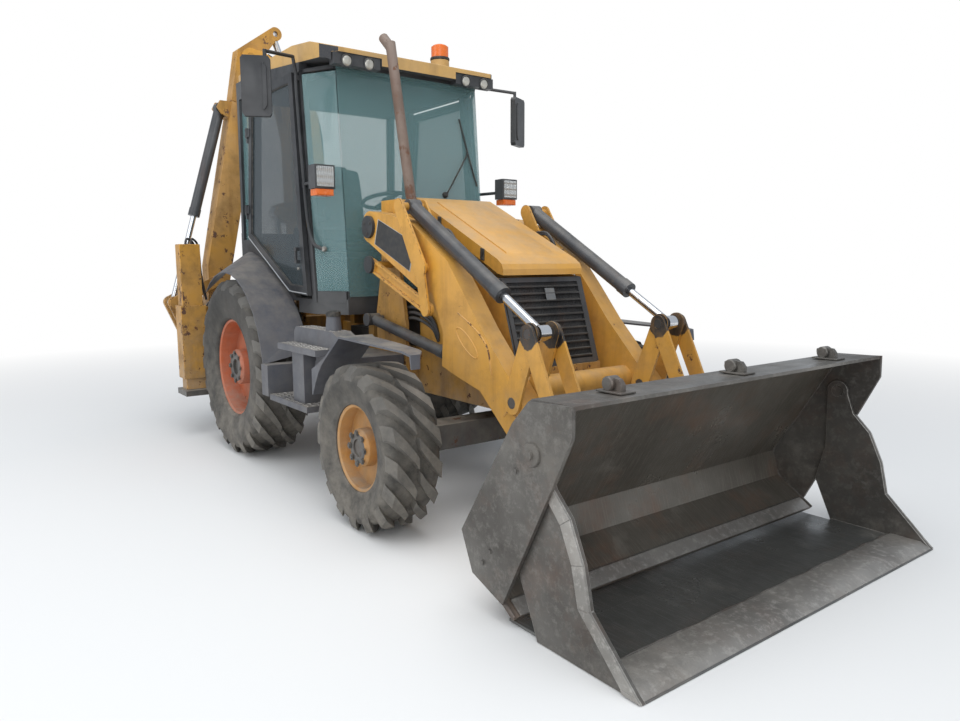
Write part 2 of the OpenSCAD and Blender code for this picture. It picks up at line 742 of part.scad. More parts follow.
// Boom, a bowed box with a forked foot and a forked nose
boom_back = [[290, 735], [270, 900], [150, 1800], [120, 2500], [170, 2950], [420, 3330], [700, 3480],
    [830, 3500]];
boom_belly = [[830, 3340], [720, 3300], [560, 3060], [480, 2700], [470, 2000], [440, 1400], [420, 735]];

module boom() {
    color("orange") at_slew() {
        difference() {
            union() {
                xz(-boom_w / 2, boom_w / 2) union() {
                    polygon(concat(boom_back, boom_belly));
                    translate(boom_foot) circle(72);
                    translate(boom_nose) circle(80);
                }
                xz(-90, 90) polygon([[440, 1880], [600, 1930], [650, 2000], [600, 2070], [440, 2120]]);
                xz(-90, 90) polygon([[160, 2310], [90, 2340], [40, 2400], [90, 2460], [160, 2520]]);
            }
            xz(-82, 82) polygon([[200, 600], [200, 1050], [520, 1050], [520, 600]]);
            xz(-82, 82) translate(boom_nose) circle(435);
            xz(-60, 60) union() {
                translate(boom_ram_eye) circle(105);
                polygon([[480, 1780], [700, 1780], [700, 2000], [480, 2000]]);
                translate(dipper_ram_foot) circle(66);
                polygon([[0, 2400], [156, 2360], [650, 3045], [900, 3300], [400, 3500], [0, 2700]]);
            }
            pin(boom_nose, 35 + play, -200, 200);
        }
        pin(boom_foot, 40, -83, 83);
        pin(dipper_ram_foot, 28, -61, 61);
    }
}

module boom_barrel() {
    color("#222428") at_slew() aim(boom_ram_foot, boom_ram_eye, 0)
        barrel(55, 900, 58, 100, 30, rod_r + 5 + play);
}

boom_ram_len = span(boom_ram_foot, boom_ram_eye);
module boom_rod() {
    color("silver") at_slew() aim(boom_ram_foot, boom_ram_eye, 0)
        rod(rod_r + 5, boom_ram_len - 760, boom_ram_len, 50, 90, 28);
}

// Dipper head and the inner tube that its case slides on
function down(d, s) = across(boom_nose, dig_pivot, d, s);
module dipper() {
    color("orange") at_slew() {
        difference() {
            union() {
                xz(-head_w / 2, head_w / 2) union() {
                    polygon([dipper_tail + [-60, 20], dipper_tail + [50, 40], boom_nose + [110, 60],
                        down(440, 110), down(440, -110), boom_nose + [-90, -40]]);
                    translate(dipper_tail) circle(62);
                }
                xz(-55, 55) polygon([down(430, 60), down(1900, 60), down(1900, -60), down(430, -60)]);
            }
            xz(-50, 50) union() {
                translate(dipper_tail) circle(220);
                polygon([dipper_tail + [-100, -40], dipper_tail + [100, -40], dipper_tail + [100, 100],
                    dipper_tail + [-100, 100]]);
            }
            pin(dipper_tail, 25 + play, -200, 200);
        }
        pin(boom_nose, 35, -head_w / 2 - 40, head_w / 2 + 40);
    }
}

module dipper_case() {
    color("orange") at_slew() {
        difference() {
            union() {
                xz(-case_w / 2, case_w / 2) polygon([down(450, 110), down(2000, 110), down(2200, 70),
                    down(2340, 60), down(2340, -40), down(2200, -110), down(450, -130)]);
                xz(-case_w / 2, case_w / 2) translate(dig_pivot) circle(60);
                xz(-80, 80) polygon([bucket_ram_foot + [-150, 60], bucket_ram_foot + [20, 60],
                    bucket_ram_foot + [50, 0], bucket_ram_foot + [10, -60], bucket_ram_foot + [-140, -120]]);
            }
            xz(-60, 60) polygon([down(440, 66), down(2010, 66), down(2010, -66), down(440, -66)]);
            xz(-55, 55) union() {
                translate(bucket_ram_foot) circle(72);
                polygon([[1060, 2937], [1180, 2937], [1260, 2740], [1105, 2740]]);
            }
            pin(dig_pivot, 35 + play, -200, 200);
            pin(lever_pivot, 30 + play, -200, 200);
        }
        pin(bucket_ram_foot, 28, -56, 56);
    }
}

module dipper_barrel() {
    color("#222428") at_slew() aim(dipper_ram_foot, dipper_tail, 0)
        barrel(52, 770, 55, 90, 28, rod_r + 5 + play);
}

dipper_ram_len = span(dipper_ram_foot, dipper_tail);
module dipper_rod() {
    color("silver") at_slew() aim(dipper_ram_foot, dipper_tail, 0)
        rod(rod_r + 5, 610, dipper_ram_len, 45, 90, 26);
}

module bucket_barrel() {
    color("#222428") at_slew() aim(bucket_ram_foot, link_joint, 0)
        barrel(48, 1040, 52, 90, 28, rod_r + play);
}

bucket_ram_len = span(bucket_ram_foot, link_joint);
module bucket_rod() {
    color("silver") at_slew() aim(bucket_ram_foot, link_joint, 0)
        rod(rod_r, 890, bucket_ram_len, 45, 80, 28);
}

module digging_lever() {
    color("orange") at_slew() {
        for (s = [-1, 1])
            xz(min(s * 105, s * 120), max(s * 105, s * 120)) link2(lever_pivot, link_joint, 50, 55);
        pin(lever_pivot, 30, -120, 120);
        for (s = [-1, 1])
            pin(link_joint, 28, min(s * 50, s * 120), max(s * 50, s * 120));
    }
}

module digging_link() {
    color("orange") at_slew() for (s = [-1, 1]) difference() {
        xz(min(s * 55, s * 94), max(s * 55, s * 94)) link2(link_joint, dig_link_foot, 60, 50);
        pin(link_joint, 28 + play, -200, 200);
        pin(dig_link_foot, 30, -200, 200);
    }
}

bucket_shell = [[1330, 960], [1420, 905], [1424, 800], [1500, 690], [1480, 560], [1300, 420],
    [1060, 400], [870, 520], [780, 760], [765, 800]];
// Teeth along the digging bucket's lip, and their width
teeth = 4;
tooth_w = 56;
module digging_bucket() {
    color("dimgray") at_slew() {
        difference() {
            xz(-dig_w / 2, dig_w / 2) polygon(concat(bucket_shell, [[1200, 960]]));
            xz(-dig_w / 2 + 16, dig_w / 2 - 16) polygon([[1200, 970], [1200, 944],
                [1325, 944], [1404, 896], [1408, 796], [1482, 686], [1466, 575], [1290, 440], [1065, 420],
                [884, 535], [800, 760], [700, 812]]);
        }
        for (s = [-1, 1])
            xz(min(s * 100, s * 125), max(s * 100, s * 125)) polygon([[1200, 960], [1220, 1150],
                [1290, 1190], [1350, 1140], [1570, 870], [1560, 800], [1420, 780]]);
        pin(dig_pivot, 35, -125, 125);
        for (k = [0 : teeth - 1]) {
            y = (k - (teeth - 1) / 2) * (dig_w - tooth_w - 2) / (teeth - 1);
            xz(y - tooth_w / 2, y + tooth_w / 2) polygon([[768, 735], [738, 872], [748, 876], [812, 752]]);
        }
    }
}

// Steered hubs
module knuckle() {
    color("dimgray") difference() {
        union() {
            box([wheelbase - 55, kingpin_y - 55, front_hub_z - 85], [wheelbase + 55, kingpin_y + 50, front_hub_z + 85]);
            pin([wheelbase, front_hub_z], 50, kingpin_y, front_wheel_y + 110);
        }
        translate([wheelbase, kingpin_y, front_hub_z - 200]) cylinder(r = 25 + play, h = 125 + play);
        translate([wheelbase, kingpin_y, front_hub_z + 75]) cylinder(r = 25 + play, h = 125);
    }
}

module knuckle_left() {
    knuckle();
}

module knuckle_right() {
    mirror([0, 1, 0]) knuckle();
}

// A tyre: a carcass turned about its axle, and slanted lugs on both halves of its tread
module tyre(r, w, rim_r, lugs) {
    body = r - lug_h;
    rotate([-90, 0, 0]) rotate_extrude() polygon([[rim_r + tiny, -w * 0.36], [rim_r + 25, -w * 0.42],
        [r * 0.8, -w * 0.49], [body - 30, -w * 0.48], [body, -w * 0.4], [body, w * 0.4],
        [body - 30, w * 0.48], [r * 0.8, w * 0.49], [rim_r + 25, w * 0.42], [rim_r + tiny, w * 0.36]]);
    // The lug's corners, and not its middle, reach the tyre's radius
    top = sqrt(r * r - lug_w * lug_w / 4) - 1;
    half = (w / 4 - lug_w / 2 * sin(lug_slant)) / cos(lug_slant);
    for (side = [1, -1], k = [0 : lugs - 1])
        rotate([0, (k + (side + 1) / 4) * 360 / lugs, 0])
            translate([0, side * w / 4, 0]) rotate([0, 0, -side * lug_slant])
                mirror([0, side < 0 ? 1 : 0, 0]) yz(-lug_w / 2, lug_w / 2) polygon([[-half, body - 12],
                    [-half, top], [half * 0.4, top], [half * 0.75, top - 10], [half, top - 36],
                    [half, body - 70], [half - 40, body - 50]]);
}

// A rim: flanged band, dished disc and hub, with its outer face towards +Y
module rim(r, w, dish, hub_r, hub_y, axle_r) {
    rotate([-90, 0, 0]) rotate_extrude() polygon([[r, -w * 0.36], [r - 12, -w * 0.36],
        [r - 30, -w * 0.2], [r - 30, dish - 30], [hub_r, dish - 20], [hub_r, -20], [axle_r + play, -20],
        [axle_r + play, hub_y], [hub_r - 20, hub_y], [hub_r, hub_y - 20], [hub_r, dish], [r - 18, dish - 8],
        [r - 18, w * 0.34], [r, w * 0.36]]);
}

module tyre_rear_left() {
    color("#2b2b2b") translate([0, rear_wheel_y, rear_hub_z]) tyre(rear_tyre_r, rear_tyre_w, rear_rim_r, rear_lugs);
}

module tyre_rear_right() {
    mirror([0, 1, 0]) tyre_rear_left();
}

module rim_rear_left() {
    color("orangered") translate([0, rear_wheel_y, rear_hub_z]) rim(rear_rim_r, rear_tyre_w, 20, 140, 150, 60);
}

module rim_rear_right() {
    mirror([0, 1, 0]) rim_rear_left();
}

module tyre_front_left() {
    color("#2b2b2b") translate([wheelbase, front_wheel_y, front_hub_z])
        tyre(front_tyre_r, front_tyre_w, front_rim_r, front_lugs);
}

module tyre_front_right() {
    mirror([0, 1, 0]) tyre_front_left();
}

module rim_front_left() {
    color("orange") translate([wheelbase, front_wheel_y, front_hub_z])
        rim(front_rim_r, front_tyre_w, 40, 110, 120, 50);
}

module rim_front_right() {
    mirror([0, 1, 0]) rim_front_left();
}

// Loader arm outline, from the rear pivot along the top edge to the nose and back
arm_pts = [[1390, 1848], [1640, 1812], [1900, 1745], [2275, 1522], [2430, 1350], [2600, 1150], [2940, 810], [3200, 330],
    [3140, 230], [2850, 575], [2590, 800], [2350, 860], [2215, 900], [2230, 1100], [2120, 1330],
    [1950, 1360], [1350, 1645]];
arm_cavity = [[1250, 1600], [1320, 1730], [1420, 1830], [1640, 1797], [1895, 1728], [2263, 1508], [2588, 1140],
    [2740, 990], [2560, 700], [2200, 700], [2000, 1200]];

module loader_arms() {
    color("orange") {
        both() difference() {
            union() {
                xz(arm_in, arm_out) union() {
                    polygon(arm_pts);
                    translate(pivot_arm) circle(104);
                    translate(bucket_pivot) circle(60);
                }
            }
            xz(arm_in + arm_plate, arm_out - arm_plate) difference() {
                polygon(arm_cavity);
                translate(pivot_arm) circle(60);
                translate(pivot_post) circle(60);
            }
            pin(pivot_post, 30 + play, 300, 700);
            pin(lever_foot, 30 + play, 300, 700);
            pin(bucket_pivot, 30 + play, 300, 700);
        }
        // Root pins with their round caps
        both() {
            pin(pivot_arm, arm_pin_r, tower_in + tiny, arm_out);
            pin(pivot_arm, 74, arm_out, arm_out + 22);
        }
        pin([2740, 800], 75, -arm_in, arm_in);
    }
}

module loader_posts() {
    color("orange") both() {
        xz(post_out, post_out + lever_t) union() {
            link2(pivot_tilt, pivot_post, 48, 66);
            link2(pivot_post, pivot_link_front, 46, 42);
        }
        xz(post_in, post_in + lever_t) link2(pivot_tilt, pivot_post, 48, 60);
        pin(pivot_post, 30, post_in, post_out + lever_t);
        pin(pivot_tilt, 25, post_in, post_out + lever_t);
        pin(pivot_link_front, 22, lever_out, post_out + lever_t);
    }
}

link_len = span(pivot_link, pivot_link_front);
module loader_links() {
    color("orange") both() {
        difference() {
            xz(lever_out, link_out + 5) link2(pivot_link, pivot_link_front, 44, 40);
            // The link is a channel, open outwards
            xz(lever_out + 10, link_out + 6) polygon([across(pivot_link, pivot_link_front, 60, -24),
                across(pivot_link, pivot_link_front, link_len - 55, -22),
                across(pivot_link, pivot_link_front, link_len - 55, 22),
                across(pivot_link, pivot_link_front, 60, 24)]);
            pin(pivot_link_front, 22 + play, 300, 700);
        }
        pin(pivot_link, link_pin_r, tower_in + tiny, link_out + 5);
        pin(pivot_link, 58, link_out + 5, link_out + 27);
    }
}

lift_len = span(pivot_lift, lift_eye);
module lift_barrels() {
    color("#222428") both() {
        aim(pivot_lift, lift_eye, arm_y) barrel(lift_r, lift_len - 90, 42, 76, lift_pin_r - 2 * play, rod_r + play);
        pin(pivot_lift, lift_pin_r, tower_in + tiny, arm_out - arm_plate);
        pin(pivot_lift, 44, arm_out - arm_plate, arm_out);
    }
}

module lift_rods() {
    color("silver") both() aim(pivot_lift, lift_eye, arm_y) rod(rod_r, 75, lift_len, 38, 70, 22);
}

tilt_len = span(pivot_tilt, lever_top);
module tilt_barrels() {
    color("#222428") both() aim(pivot_tilt, lever_top, arm_y) barrel(tilt_r, 1040, 46, 84, 25, rod_r + play);
}

module tilt_rods() {
    color("silver") both() aim(pivot_tilt, lever_top, arm_y) rod(rod_r, 400, tilt_len, 42, 70, 25);
}

module lever_pins() {
    color("dimgray") both() pin(lever_foot, 30, lever_in, lever_out + lever_t);
}

module tilt_levers() {
    color("orange") both() difference() {
        for (y = [lever_out, lever_in])
            xz(y, y + lever_t) link2(lever_foot, lever_top, 62, 58);
        pin(lever_foot, 30 + play, 300, 700);
        pin(lever_top, 28 + play, 300, 700);
    }
}

module link_pins() {
    color("dimgray") both() {
        pin(lever_top, 28, lever_out, link_out + lever_t);
        pin(lever_top, 28, link_in, lever_in + lever_t);
    }
}

module bucket_links() {
    color("orange") both() difference() {
        for (y = [link_out, link_in])
            xz(y, y + lever_t) link2(lever_top, link_foot, 50, 46);
        pin(lever_top, 28 + play, 300, 700);
        pin(link_foot, 24, 300, 700);
    }
}

module bucket_pins() {
    color("dimgray") both() pin(bucket_pivot, 30, lever_in, lever_out + lever_t);
}

// Loader bucket: the fixed back with its blade and end plates
board_side = [[3714, 982], [3953, 996], [3955, 879], [3860, 683], [3553, 91], [3344, 164],
    [3265, 338], [3616, 880]];

// Thickness of the board's ribs, and the sideways places of its lifting hooks
rib_t = 14;
hook_y = [-820, 0, 820];
module mouldboard() {
    color("gray") {
        both() xz(bucket_y - bucket_t, bucket_y) polygon(board_side);
        xz(-bucket_y + bucket_t, bucket_y - bucket_t) polygon([[3700, 980], [3650, 880], [3325, 350],
            [3370, 185], [3600, 35], [3612, 50], [3388, 200], [3345, 345], [3668, 874], [3730, 960],
            [3950, 980], [3950, 996], [3714, 990]]);
        both() difference() {
            for (y = [lever_out, lever_in])
                xz(y, y + lever_t) union() {
                    link2(bucket_pivot, link_foot, 60, 46);
                    polygon([bucket_pivot, [3370, 185], [3325, 350], [3500, 635], link_foot]);
                }
            pin(bucket_pivot, 30 + play, 300, 700);
        }
        both() pin(clam_pivot, 30, bucket_y - bucket_t - 30, bucket_y);
        // Ribs behind the board
        both() for (y = [200, 820])
            xz(y, y + rib_t) polygon([[3650, 870], [3720, 984], [3700, 980], [3600, 920], [3560, 800],
                [3290, 380], [3325, 340], [3340, 340]]);
        // Lifting hooks on the top edge
        for (y = hook_y)
            xz(y - 12, y + 12) polygon([[3800, 985], [3880, 985], [3880, 1030], [3862, 1052], [3800, 1058],
                [3776, 1046], [3776, 1030], [3840, 1024], [3800, 1010]]);
    }
}

// Front half of the bucket, hung from the end plates
clam_side = [[3837, 657], [3930, 565], [4002, 408], [4039, 242], [4268, 20], [4293, 0], [3745, 0],
    [3729, 40], [3635, 242], [3685, 442], [3680, 775], [3690, 810], [3780, 810]];
module clam() {
    color("gray") {
        both() difference() {
            xz(bucket_y - bucket_t - 27, bucket_y - bucket_t - 7) union() {
                polygon(clam_side);
                translate(clam_pivot) circle(60);
            }
            pin(clam_pivot, 30 + play, 900, 1300);
        }
        xz(-bucket_y + bucket_t + 27, bucket_y - bucket_t - 27) polygon([[3745, 0], [front_x, 0],
            [4240, 26], [4080, 26], [4078, 20], [3745, 20]]);
    }
}

move_in() chassis();
move_in() drive_train();
move_in() side_panels();
move_in() grille();
move_in() bonnet();
move_in() exhaust();
move_in() tanks();
move_in() fenders();
move_in() cab_frame();
move_in() cab_roof();
move_in() cab_glass();
move_in() door_right();
move_in() door_right_glass();
move_in() door_left();
move_in() door_left_glass();
move_in() seat();
move_in() steering_column();
move_in() mirrors();
move_in() lamps();
move_in() rear_frame();
move_in() knuckle_right();
move_in() knuckle_left();
move_in() tyre_front_right();
move_in() rim_front_right();
move_in() tyre_front_left();
move_in() rim_front_left();
move_in() tyre_rear_right();
move_in() rim_rear_right();
move_in() tyre_rear_left();
move_in() rim_rear_left();
move_in() loader_arms();
move_in() loader_posts();
move_in() loader_links();
move_in() lift_barrels();
move_in() lift_rods();
move_in() tilt_barrels();
move_in() tilt_rods();
move_in() lever_pins();
move_in() tilt_levers();
move_in() link_pins();
move_in() bucket_links();
move_in() bucket_pins();
move_in() mouldboard();
move_in() clam();
move_in() leg_right();
move_in() leg_left();
move_in() carriage();
move_in() kingpost();
move_in() boom();
move_in() boom_barrel();
move_in() boom_rod();
move_in() dipper();
move_in() dipper_case();
move_in() dipper_barrel();
move_in() dipper_rod();
move_in() bucket_barrel();
move_in() bucket_rod();
move_in() digging_lever();
move_in() digging_link();
move_in() digging_bucket();
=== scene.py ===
"""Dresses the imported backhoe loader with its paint, steel, rubber, glass and small parts."""

import functools
import json
import random
from math import atan, cos, hypot, pi, radians, sin

import bmesh
import bpy
from mathutils import Matrix, Vector

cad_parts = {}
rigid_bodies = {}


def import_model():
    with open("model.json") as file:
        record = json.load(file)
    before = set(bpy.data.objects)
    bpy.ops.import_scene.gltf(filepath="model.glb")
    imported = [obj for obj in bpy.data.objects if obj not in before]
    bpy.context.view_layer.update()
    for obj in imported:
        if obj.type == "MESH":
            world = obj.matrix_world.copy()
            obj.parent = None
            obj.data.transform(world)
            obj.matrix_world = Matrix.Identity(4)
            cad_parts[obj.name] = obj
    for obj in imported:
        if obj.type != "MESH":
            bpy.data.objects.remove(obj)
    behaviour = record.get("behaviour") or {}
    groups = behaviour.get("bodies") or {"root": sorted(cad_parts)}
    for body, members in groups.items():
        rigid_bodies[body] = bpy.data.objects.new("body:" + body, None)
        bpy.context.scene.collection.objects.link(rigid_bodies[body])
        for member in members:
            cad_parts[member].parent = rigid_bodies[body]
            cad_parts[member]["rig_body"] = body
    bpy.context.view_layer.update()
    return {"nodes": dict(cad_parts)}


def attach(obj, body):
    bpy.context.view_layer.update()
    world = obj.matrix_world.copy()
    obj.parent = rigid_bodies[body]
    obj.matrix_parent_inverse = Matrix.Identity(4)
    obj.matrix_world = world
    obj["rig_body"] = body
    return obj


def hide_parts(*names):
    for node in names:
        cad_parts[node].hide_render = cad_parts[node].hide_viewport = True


bl_info = {
    "name": "Backhoe loader dresser",
    "version": (1, 0, 0),
    "blender": (4, 5, 0),
    "location": "View3D > Sidebar > Backhoe",
    "description": "Builds the looks of a worn backhoe loader around its packed solids",
    "category": "Object",
}

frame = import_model()
NODES = frame["nodes"]
BODY_OF = {name: solid["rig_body"] for name, solid in NODES.items()}
SIDES = ((1, "left"), (-1, "right"))

# Places and turned profiles are in the drawing's millimetres, other sizes in metres. The drawing starts on the
# ground under the rear axle, and the frame starts this far ahead of it.
SHIFT = -1.3365
WHEELBASE = 2.17
REAR_AXLE = Vector((SHIFT, 0.89, 0.69))
FRONT_AXLE = Vector((SHIFT + WHEELBASE, 0.99, 0.475))

# Faces of the solids that the trim lies on: how far they are from the middle, or above the ground
ARM_SIDE = 560
DOOR_SIDE = 785
DOOR_GLASS_SIDE = 772
BOARD_SIDE = 1175
CLAM_SIDE = 1150
CAB_FLOOR = 1251
BOARD_TOP = 996

DUST = (0.30, 0.27, 0.225)
RUST = (0.13, 0.052, 0.022)
SOIL = (0.075, 0.055, 0.038)


def at(x, y, z):
    """A place from millimetres ahead of the rear axle, to the left of the middle and above the ground."""
    return Vector((x / 1000 + SHIFT, y / 1000, z / 1000))


def drawn(place):
    """A place in the drawing's millimetres again."""
    return ((place.x - SHIFT) * 1000, place.y * 1000, place.z * 1000)


def spots(points, sign=1):
    """Places from (x, y, z) points, mirrored to the right side where the sign is minus one."""
    return [at(x, sign * y, z) for x, y, z in points]


def beside(y, points):
    """Places in an upright plane beside the middle, from (x, z) points."""
    return [at(x, y, z) for x, z in points]


def blend(first, share, second, other_share):
    """A colour of so much of one and so much of another."""
    return tuple(a * share + b * other_share for a, b in zip(first, second))


class Nodes:
    """Short ways to add nodes to a tree and to join them."""

    def __init__(self, tree):
        self.tree = tree

    def feed(self, node, inputs):
        """Links or sets what goes into a node's sockets."""
        for key, value in inputs.items():
            socket = node.inputs[key]
            if isinstance(value, bpy.types.NodeSocket):
                self.tree.links.new(value, socket)
            elif socket.type == "RGBA":
                socket.default_value = (*tuple(value)[:3], 1)
            else:
                socket.default_value = value

    def add(self, kind, inputs=None, **settings):
        """One node, its settings and what goes into its sockets."""
        made = self.tree.nodes.new(kind if "Node" in kind else "ShaderNode" + kind)
        for key, value in settings.items():
            setattr(made, key, value)
        self.feed(made, inputs or {})
        return made

    def place(self):
        """The piece's own coordinates."""
        return self.add("TexCoord").outputs["Object"]

    def grain(self, scale, detail=6.0, roughness=0.6, stretch=(1, 1, 1), offset=(0, 0, 0)):
        """Noise on the piece's own coordinates, from 0 to 1."""
        place = self.add("Mapping", {"Vector": self.place(), "Scale": stretch, "Location": offset}).outputs[0]
        return self.add("TexNoise", {"Vector": place, "Scale": scale, "Detail": detail,
                                     "Roughness": roughness}).outputs["Fac"]

    def between(self, value, low, high, to_low=0.0, to_high=1.0):
        """Stretches a value from low..high to to_low..to_high, and stops there."""
        return self.add("MapRange", {"Value": value, "From Min": low, "From Max": high,
                                     "To Min": to_low, "To Max": to_high}, clamp=True).outputs[0]

    def maths(self, how, first, second):
        return self.add("Math", {0: first, 1: second}, operation=how).outputs[0]

    def times(self, first, second):
        return self.maths("MULTIPLY", first, second)

    def tint(self, share, first, second):
        """Mixes two colours by a share."""
        return self.add("Mix", {0: share, 6: first, 7: second}, data_type="RGBA").outputs[2]

    def surface(self, height, bump, depth, inputs=None):
        """Feeds the material's shader, with a relief from a height."""
        relief = self.add("Bump", {"Height": height, "Strength": bump, "Distance": depth})
        self.feed(self.tree.nodes["Principled BSDF"], {"Normal": relief.outputs[0], **(inputs or {})})


def new_material(name):
    """An empty material and its nodes."""
    material = bpy.data.materials.new(name)
    material.use_nodes = True
    return material, Nodes(material.node_tree)


def worn(name, colour, faded=None, grime=0.5, chips=0.3, chip_colour=RUST, chip_scale=9.0, dust=0.35,
         low_dust=0.5, streaks=0.3, rough=(0.32, 0.6), bump=0.15, marks=()):
    """A surface that has faded, chipped and gathered dirt out of doors; marks are round and of another colour."""
    material, n = new_material(name)
    faded = faded or tuple(min(1, c * 0.8 + 0.06) for c in colour)
    paint = n.tint(n.between(n.grain(1.6, 4), 0.38, 0.66), colour, faded)
    for centre, radius, other in marks:
        flat = n.add("VectorMath", {0: n.place(), 1: (1, 0, 1)}, operation="MULTIPLY")
        away = n.add("VectorMath", {0: flat.outputs[0], 1: (centre.x, 0, centre.z)}, operation="DISTANCE")
        ragged = n.maths("ADD", away.outputs["Value"], n.between(n.grain(30), 0, 1, -0.02, 0.02))
        paint = n.tint(n.between(ragged, radius, radius - 0.006), paint, other)
    smear = n.grain(5.5, 9, 0.68, offset=(3, 1, 7))
    paint = n.tint(n.times(n.between(smear, 0.46, 0.72), grime), paint, blend(colour, 0.35, SOIL, 0.4))
    run = n.grain(3.2, 7, 0.62, (3.4, 3.4, 0.28), (5, 2, 0))
    paint = n.tint(n.times(n.between(run, 0.5, 0.68), streaks), paint, blend(colour, 0.3, RUST, 0.6))
    # Dust lies on what faces up, and is splashed on what is low
    up = n.add("SeparateXYZ", {0: n.add("NewGeometry").outputs["Normal"]}).outputs[2]
    height = n.add("SeparateXYZ", {0: n.place()}).outputs[2]
    lying = n.times(n.between(up, 0.35, 0.95), dust)
    splash = n.times(n.between(height, 1.35, 0.15), low_dust)
    cover = n.times(n.maths("ADD", lying, splash), n.between(n.grain(7.0, 8, 0.7), 0.3, 0.72))
    paint = n.tint(cover, paint, DUST)
    gloss = n.maths("MAXIMUM", n.between(smear, 0.3, 0.7, *rough), n.times(cover, 0.95))
    tall = n.maths("ADD", n.times(n.grain(120, 4), 0.35), n.times(smear, 0.5))
    if chips:
        edge = 0.72 - 0.22 * chips
        bare = n.between(n.grain(chip_scale, 11, 0.72, offset=(9, 4, 2)), edge, edge + 0.018)
        metal = n.tint(n.between(n.grain(38, 5), 0.4, 0.65), chip_colour, tuple(c * 0.5 + 0.03 for c in chip_colour))
        paint = n.tint(bare, paint, metal)
        gloss = n.maths("MAXIMUM", gloss, n.times(bare, 0.8))
        tall = n.maths("SUBTRACT", tall, n.times(bare, 0.35))
    n.surface(tall, bump, 0.01, {"Base Color": paint, "Roughness": gloss})
    return material


def scraped(name, colour, bright, rust=0.35, rough=(0.3, 0.6), grain_way=(1, 1, 1)):
    """Bare steel: even scale, thin rust, fine scratches one way and a little dried soil."""
    cake_share, metallic = 0.35, 0.55
    material, n = new_material(name)
    cloud = n.grain(1.7, 5, 0.55)
    steel = n.tint(n.between(cloud, 0.36, 0.66), colour, bright)
    scratch = n.between(n.grain(26, 9, 0.75, grain_way), 0.5, 0.72)
    steel = n.tint(n.times(scratch, 0.5), steel, tuple(min(1, c * 1.7) for c in bright))
    red = n.times(n.between(n.grain(3.4, 11, 0.72, offset=(4, 8, 1)), 0.5, 0.72), rust)
    steel = n.tint(red, steel, tuple(c * 1.5 for c in RUST))
    cake = n.between(n.grain(2.3, 12, 0.74, offset=(1, 5, 9)), 0.55, 0.66)
    steel = n.tint(n.times(cake, cake_share), steel, tuple(c * 0.6 for c in DUST))
    dull = n.maths("MAXIMUM", red, n.times(cake, cake_share * 2))
    gloss = n.maths("MAXIMUM", n.between(cloud, 0.35, 0.65, rough[1], rough[0]), n.times(dull, 0.85))
    tall = n.maths("ADD", n.times(scratch, -0.2), n.times(cake, 0.4))
    tall = n.maths("ADD", tall, n.times(n.grain(70, 6), 0.35))
    n.surface(tall, 0.25, 0.01, {"Base Color": steel, "Roughness": gloss,
                                 "Metallic": n.times(n.maths("SUBTRACT", 1, dull), metallic)})
    return material


def plain(name, colour, rough=0.4, metallic=0.0, alpha=1.0, speckle=0.15, scale=40.0, bump=0.05):
    """A clean or lightly soiled surface."""
    material, n = new_material(name)
    dots = n.grain(scale, 6)
    n.surface(dots, bump, 0.005, {"Base Color": n.tint(n.between(dots, 0.4, 0.7, 0, speckle), colour, DUST),
                                  "Roughness": n.between(dots, 0.3, 0.7, rough, min(1, rough + 0.2)),
                                  "Metallic": metallic, "Alpha": alpha})
    return material


def ribbed_lens(name, colour):
    """A lamp glass with moulded ribs over a bright reflector."""
    material = plain(name, colour, 0.08, 0.6, scale=60)
    n = Nodes(material.node_tree)
    ribs = [n.add("TexWave", {"Vector": n.place(), "Scale": scale}, bands_direction=way).outputs["Fac"]
            for scale, way in ((22.0, "Y"), (7.0, "Z"))]
    n.surface(n.maths("ADD", *ribs), 0.7, 0.01)
    return material


# Pieces
def settle(piece, node, stands_for=()):
    """Makes a finished piece ride with a solid's body, and stand for solids where it does."""
    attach(piece, BODY_OF[node])
    if stands_for:
        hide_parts(*stands_for)
    return piece


def new_piece(name, mesh, paints=()):
    """A piece from a mesh, in the named paints."""
    piece = bpy.data.objects.new(name, mesh)
    bpy.context.scene.collection.objects.link(piece)
    mesh.materials.clear()
    for paint in paints:
        mesh.materials.append(PAINT[paint])
    return piece


def bake(piece):
    """Turns a piece with modifiers into a plain mesh."""
    graph = bpy.context.evaluated_depsgraph_get()
    graph.update()
    mesh = bpy.data.meshes.new_from_object(piece.evaluated_get(graph))
    piece.modifiers.clear()
    piece.data = mesh
    return piece


def smooth(mesh, angle):
    mesh.shade_smooth()
    mesh.set_sharp_from_angle(angle=radians(angle))


def rounded(piece, width, segments=2, edge_slot=-1):
    """Rounds a piece's edges; the rounding may take the second material."""
    bevel = piece.modifiers.new("Rounding", "BEVEL")
    bevel.width = width
    bevel.segments = segments
    bevel.limit_method = "ANGLE"
    bevel.angle_limit = radians(32)
    bevel.material = edge_slot
    bevel.harden_normals = True
    smooth(piece.data, 40)
    return bake(piece)


# What the rounded edges of some paints show
EDGE_OF = {"yellow": "yellow_edge", "dirty_yellow": "yellow_edge", "lever": "yellow_edge", "bonnet": "yellow_edge",
           "steel": "bright"}


def dress(paint, width, *nodes, segments=2):
    """Copies CAD pieces and rounds their edges; each copy stands for its piece."""
    edge = EDGE_OF.get(paint)
    for node in nodes:
        mesh = NODES[node].data.copy()
        form = bmesh.new()
        form.from_mesh(mesh)
        bmesh.ops.remove_doubles(form, verts=form.verts, dist=2e-5)
        bmesh.ops.dissolve_limit(form, angle_limit=radians(0.8), verts=form.verts, edges=form.edges)
        form.to_mesh(mesh)
        form.free()
        piece = new_piece("dressed_" + node, mesh, (paint, edge or paint))
        for face in mesh.polygons:
            face.material_index = 0
        settle(rounded(piece, width, segments, 1 if edge else -1), node, stands_for=(node,))


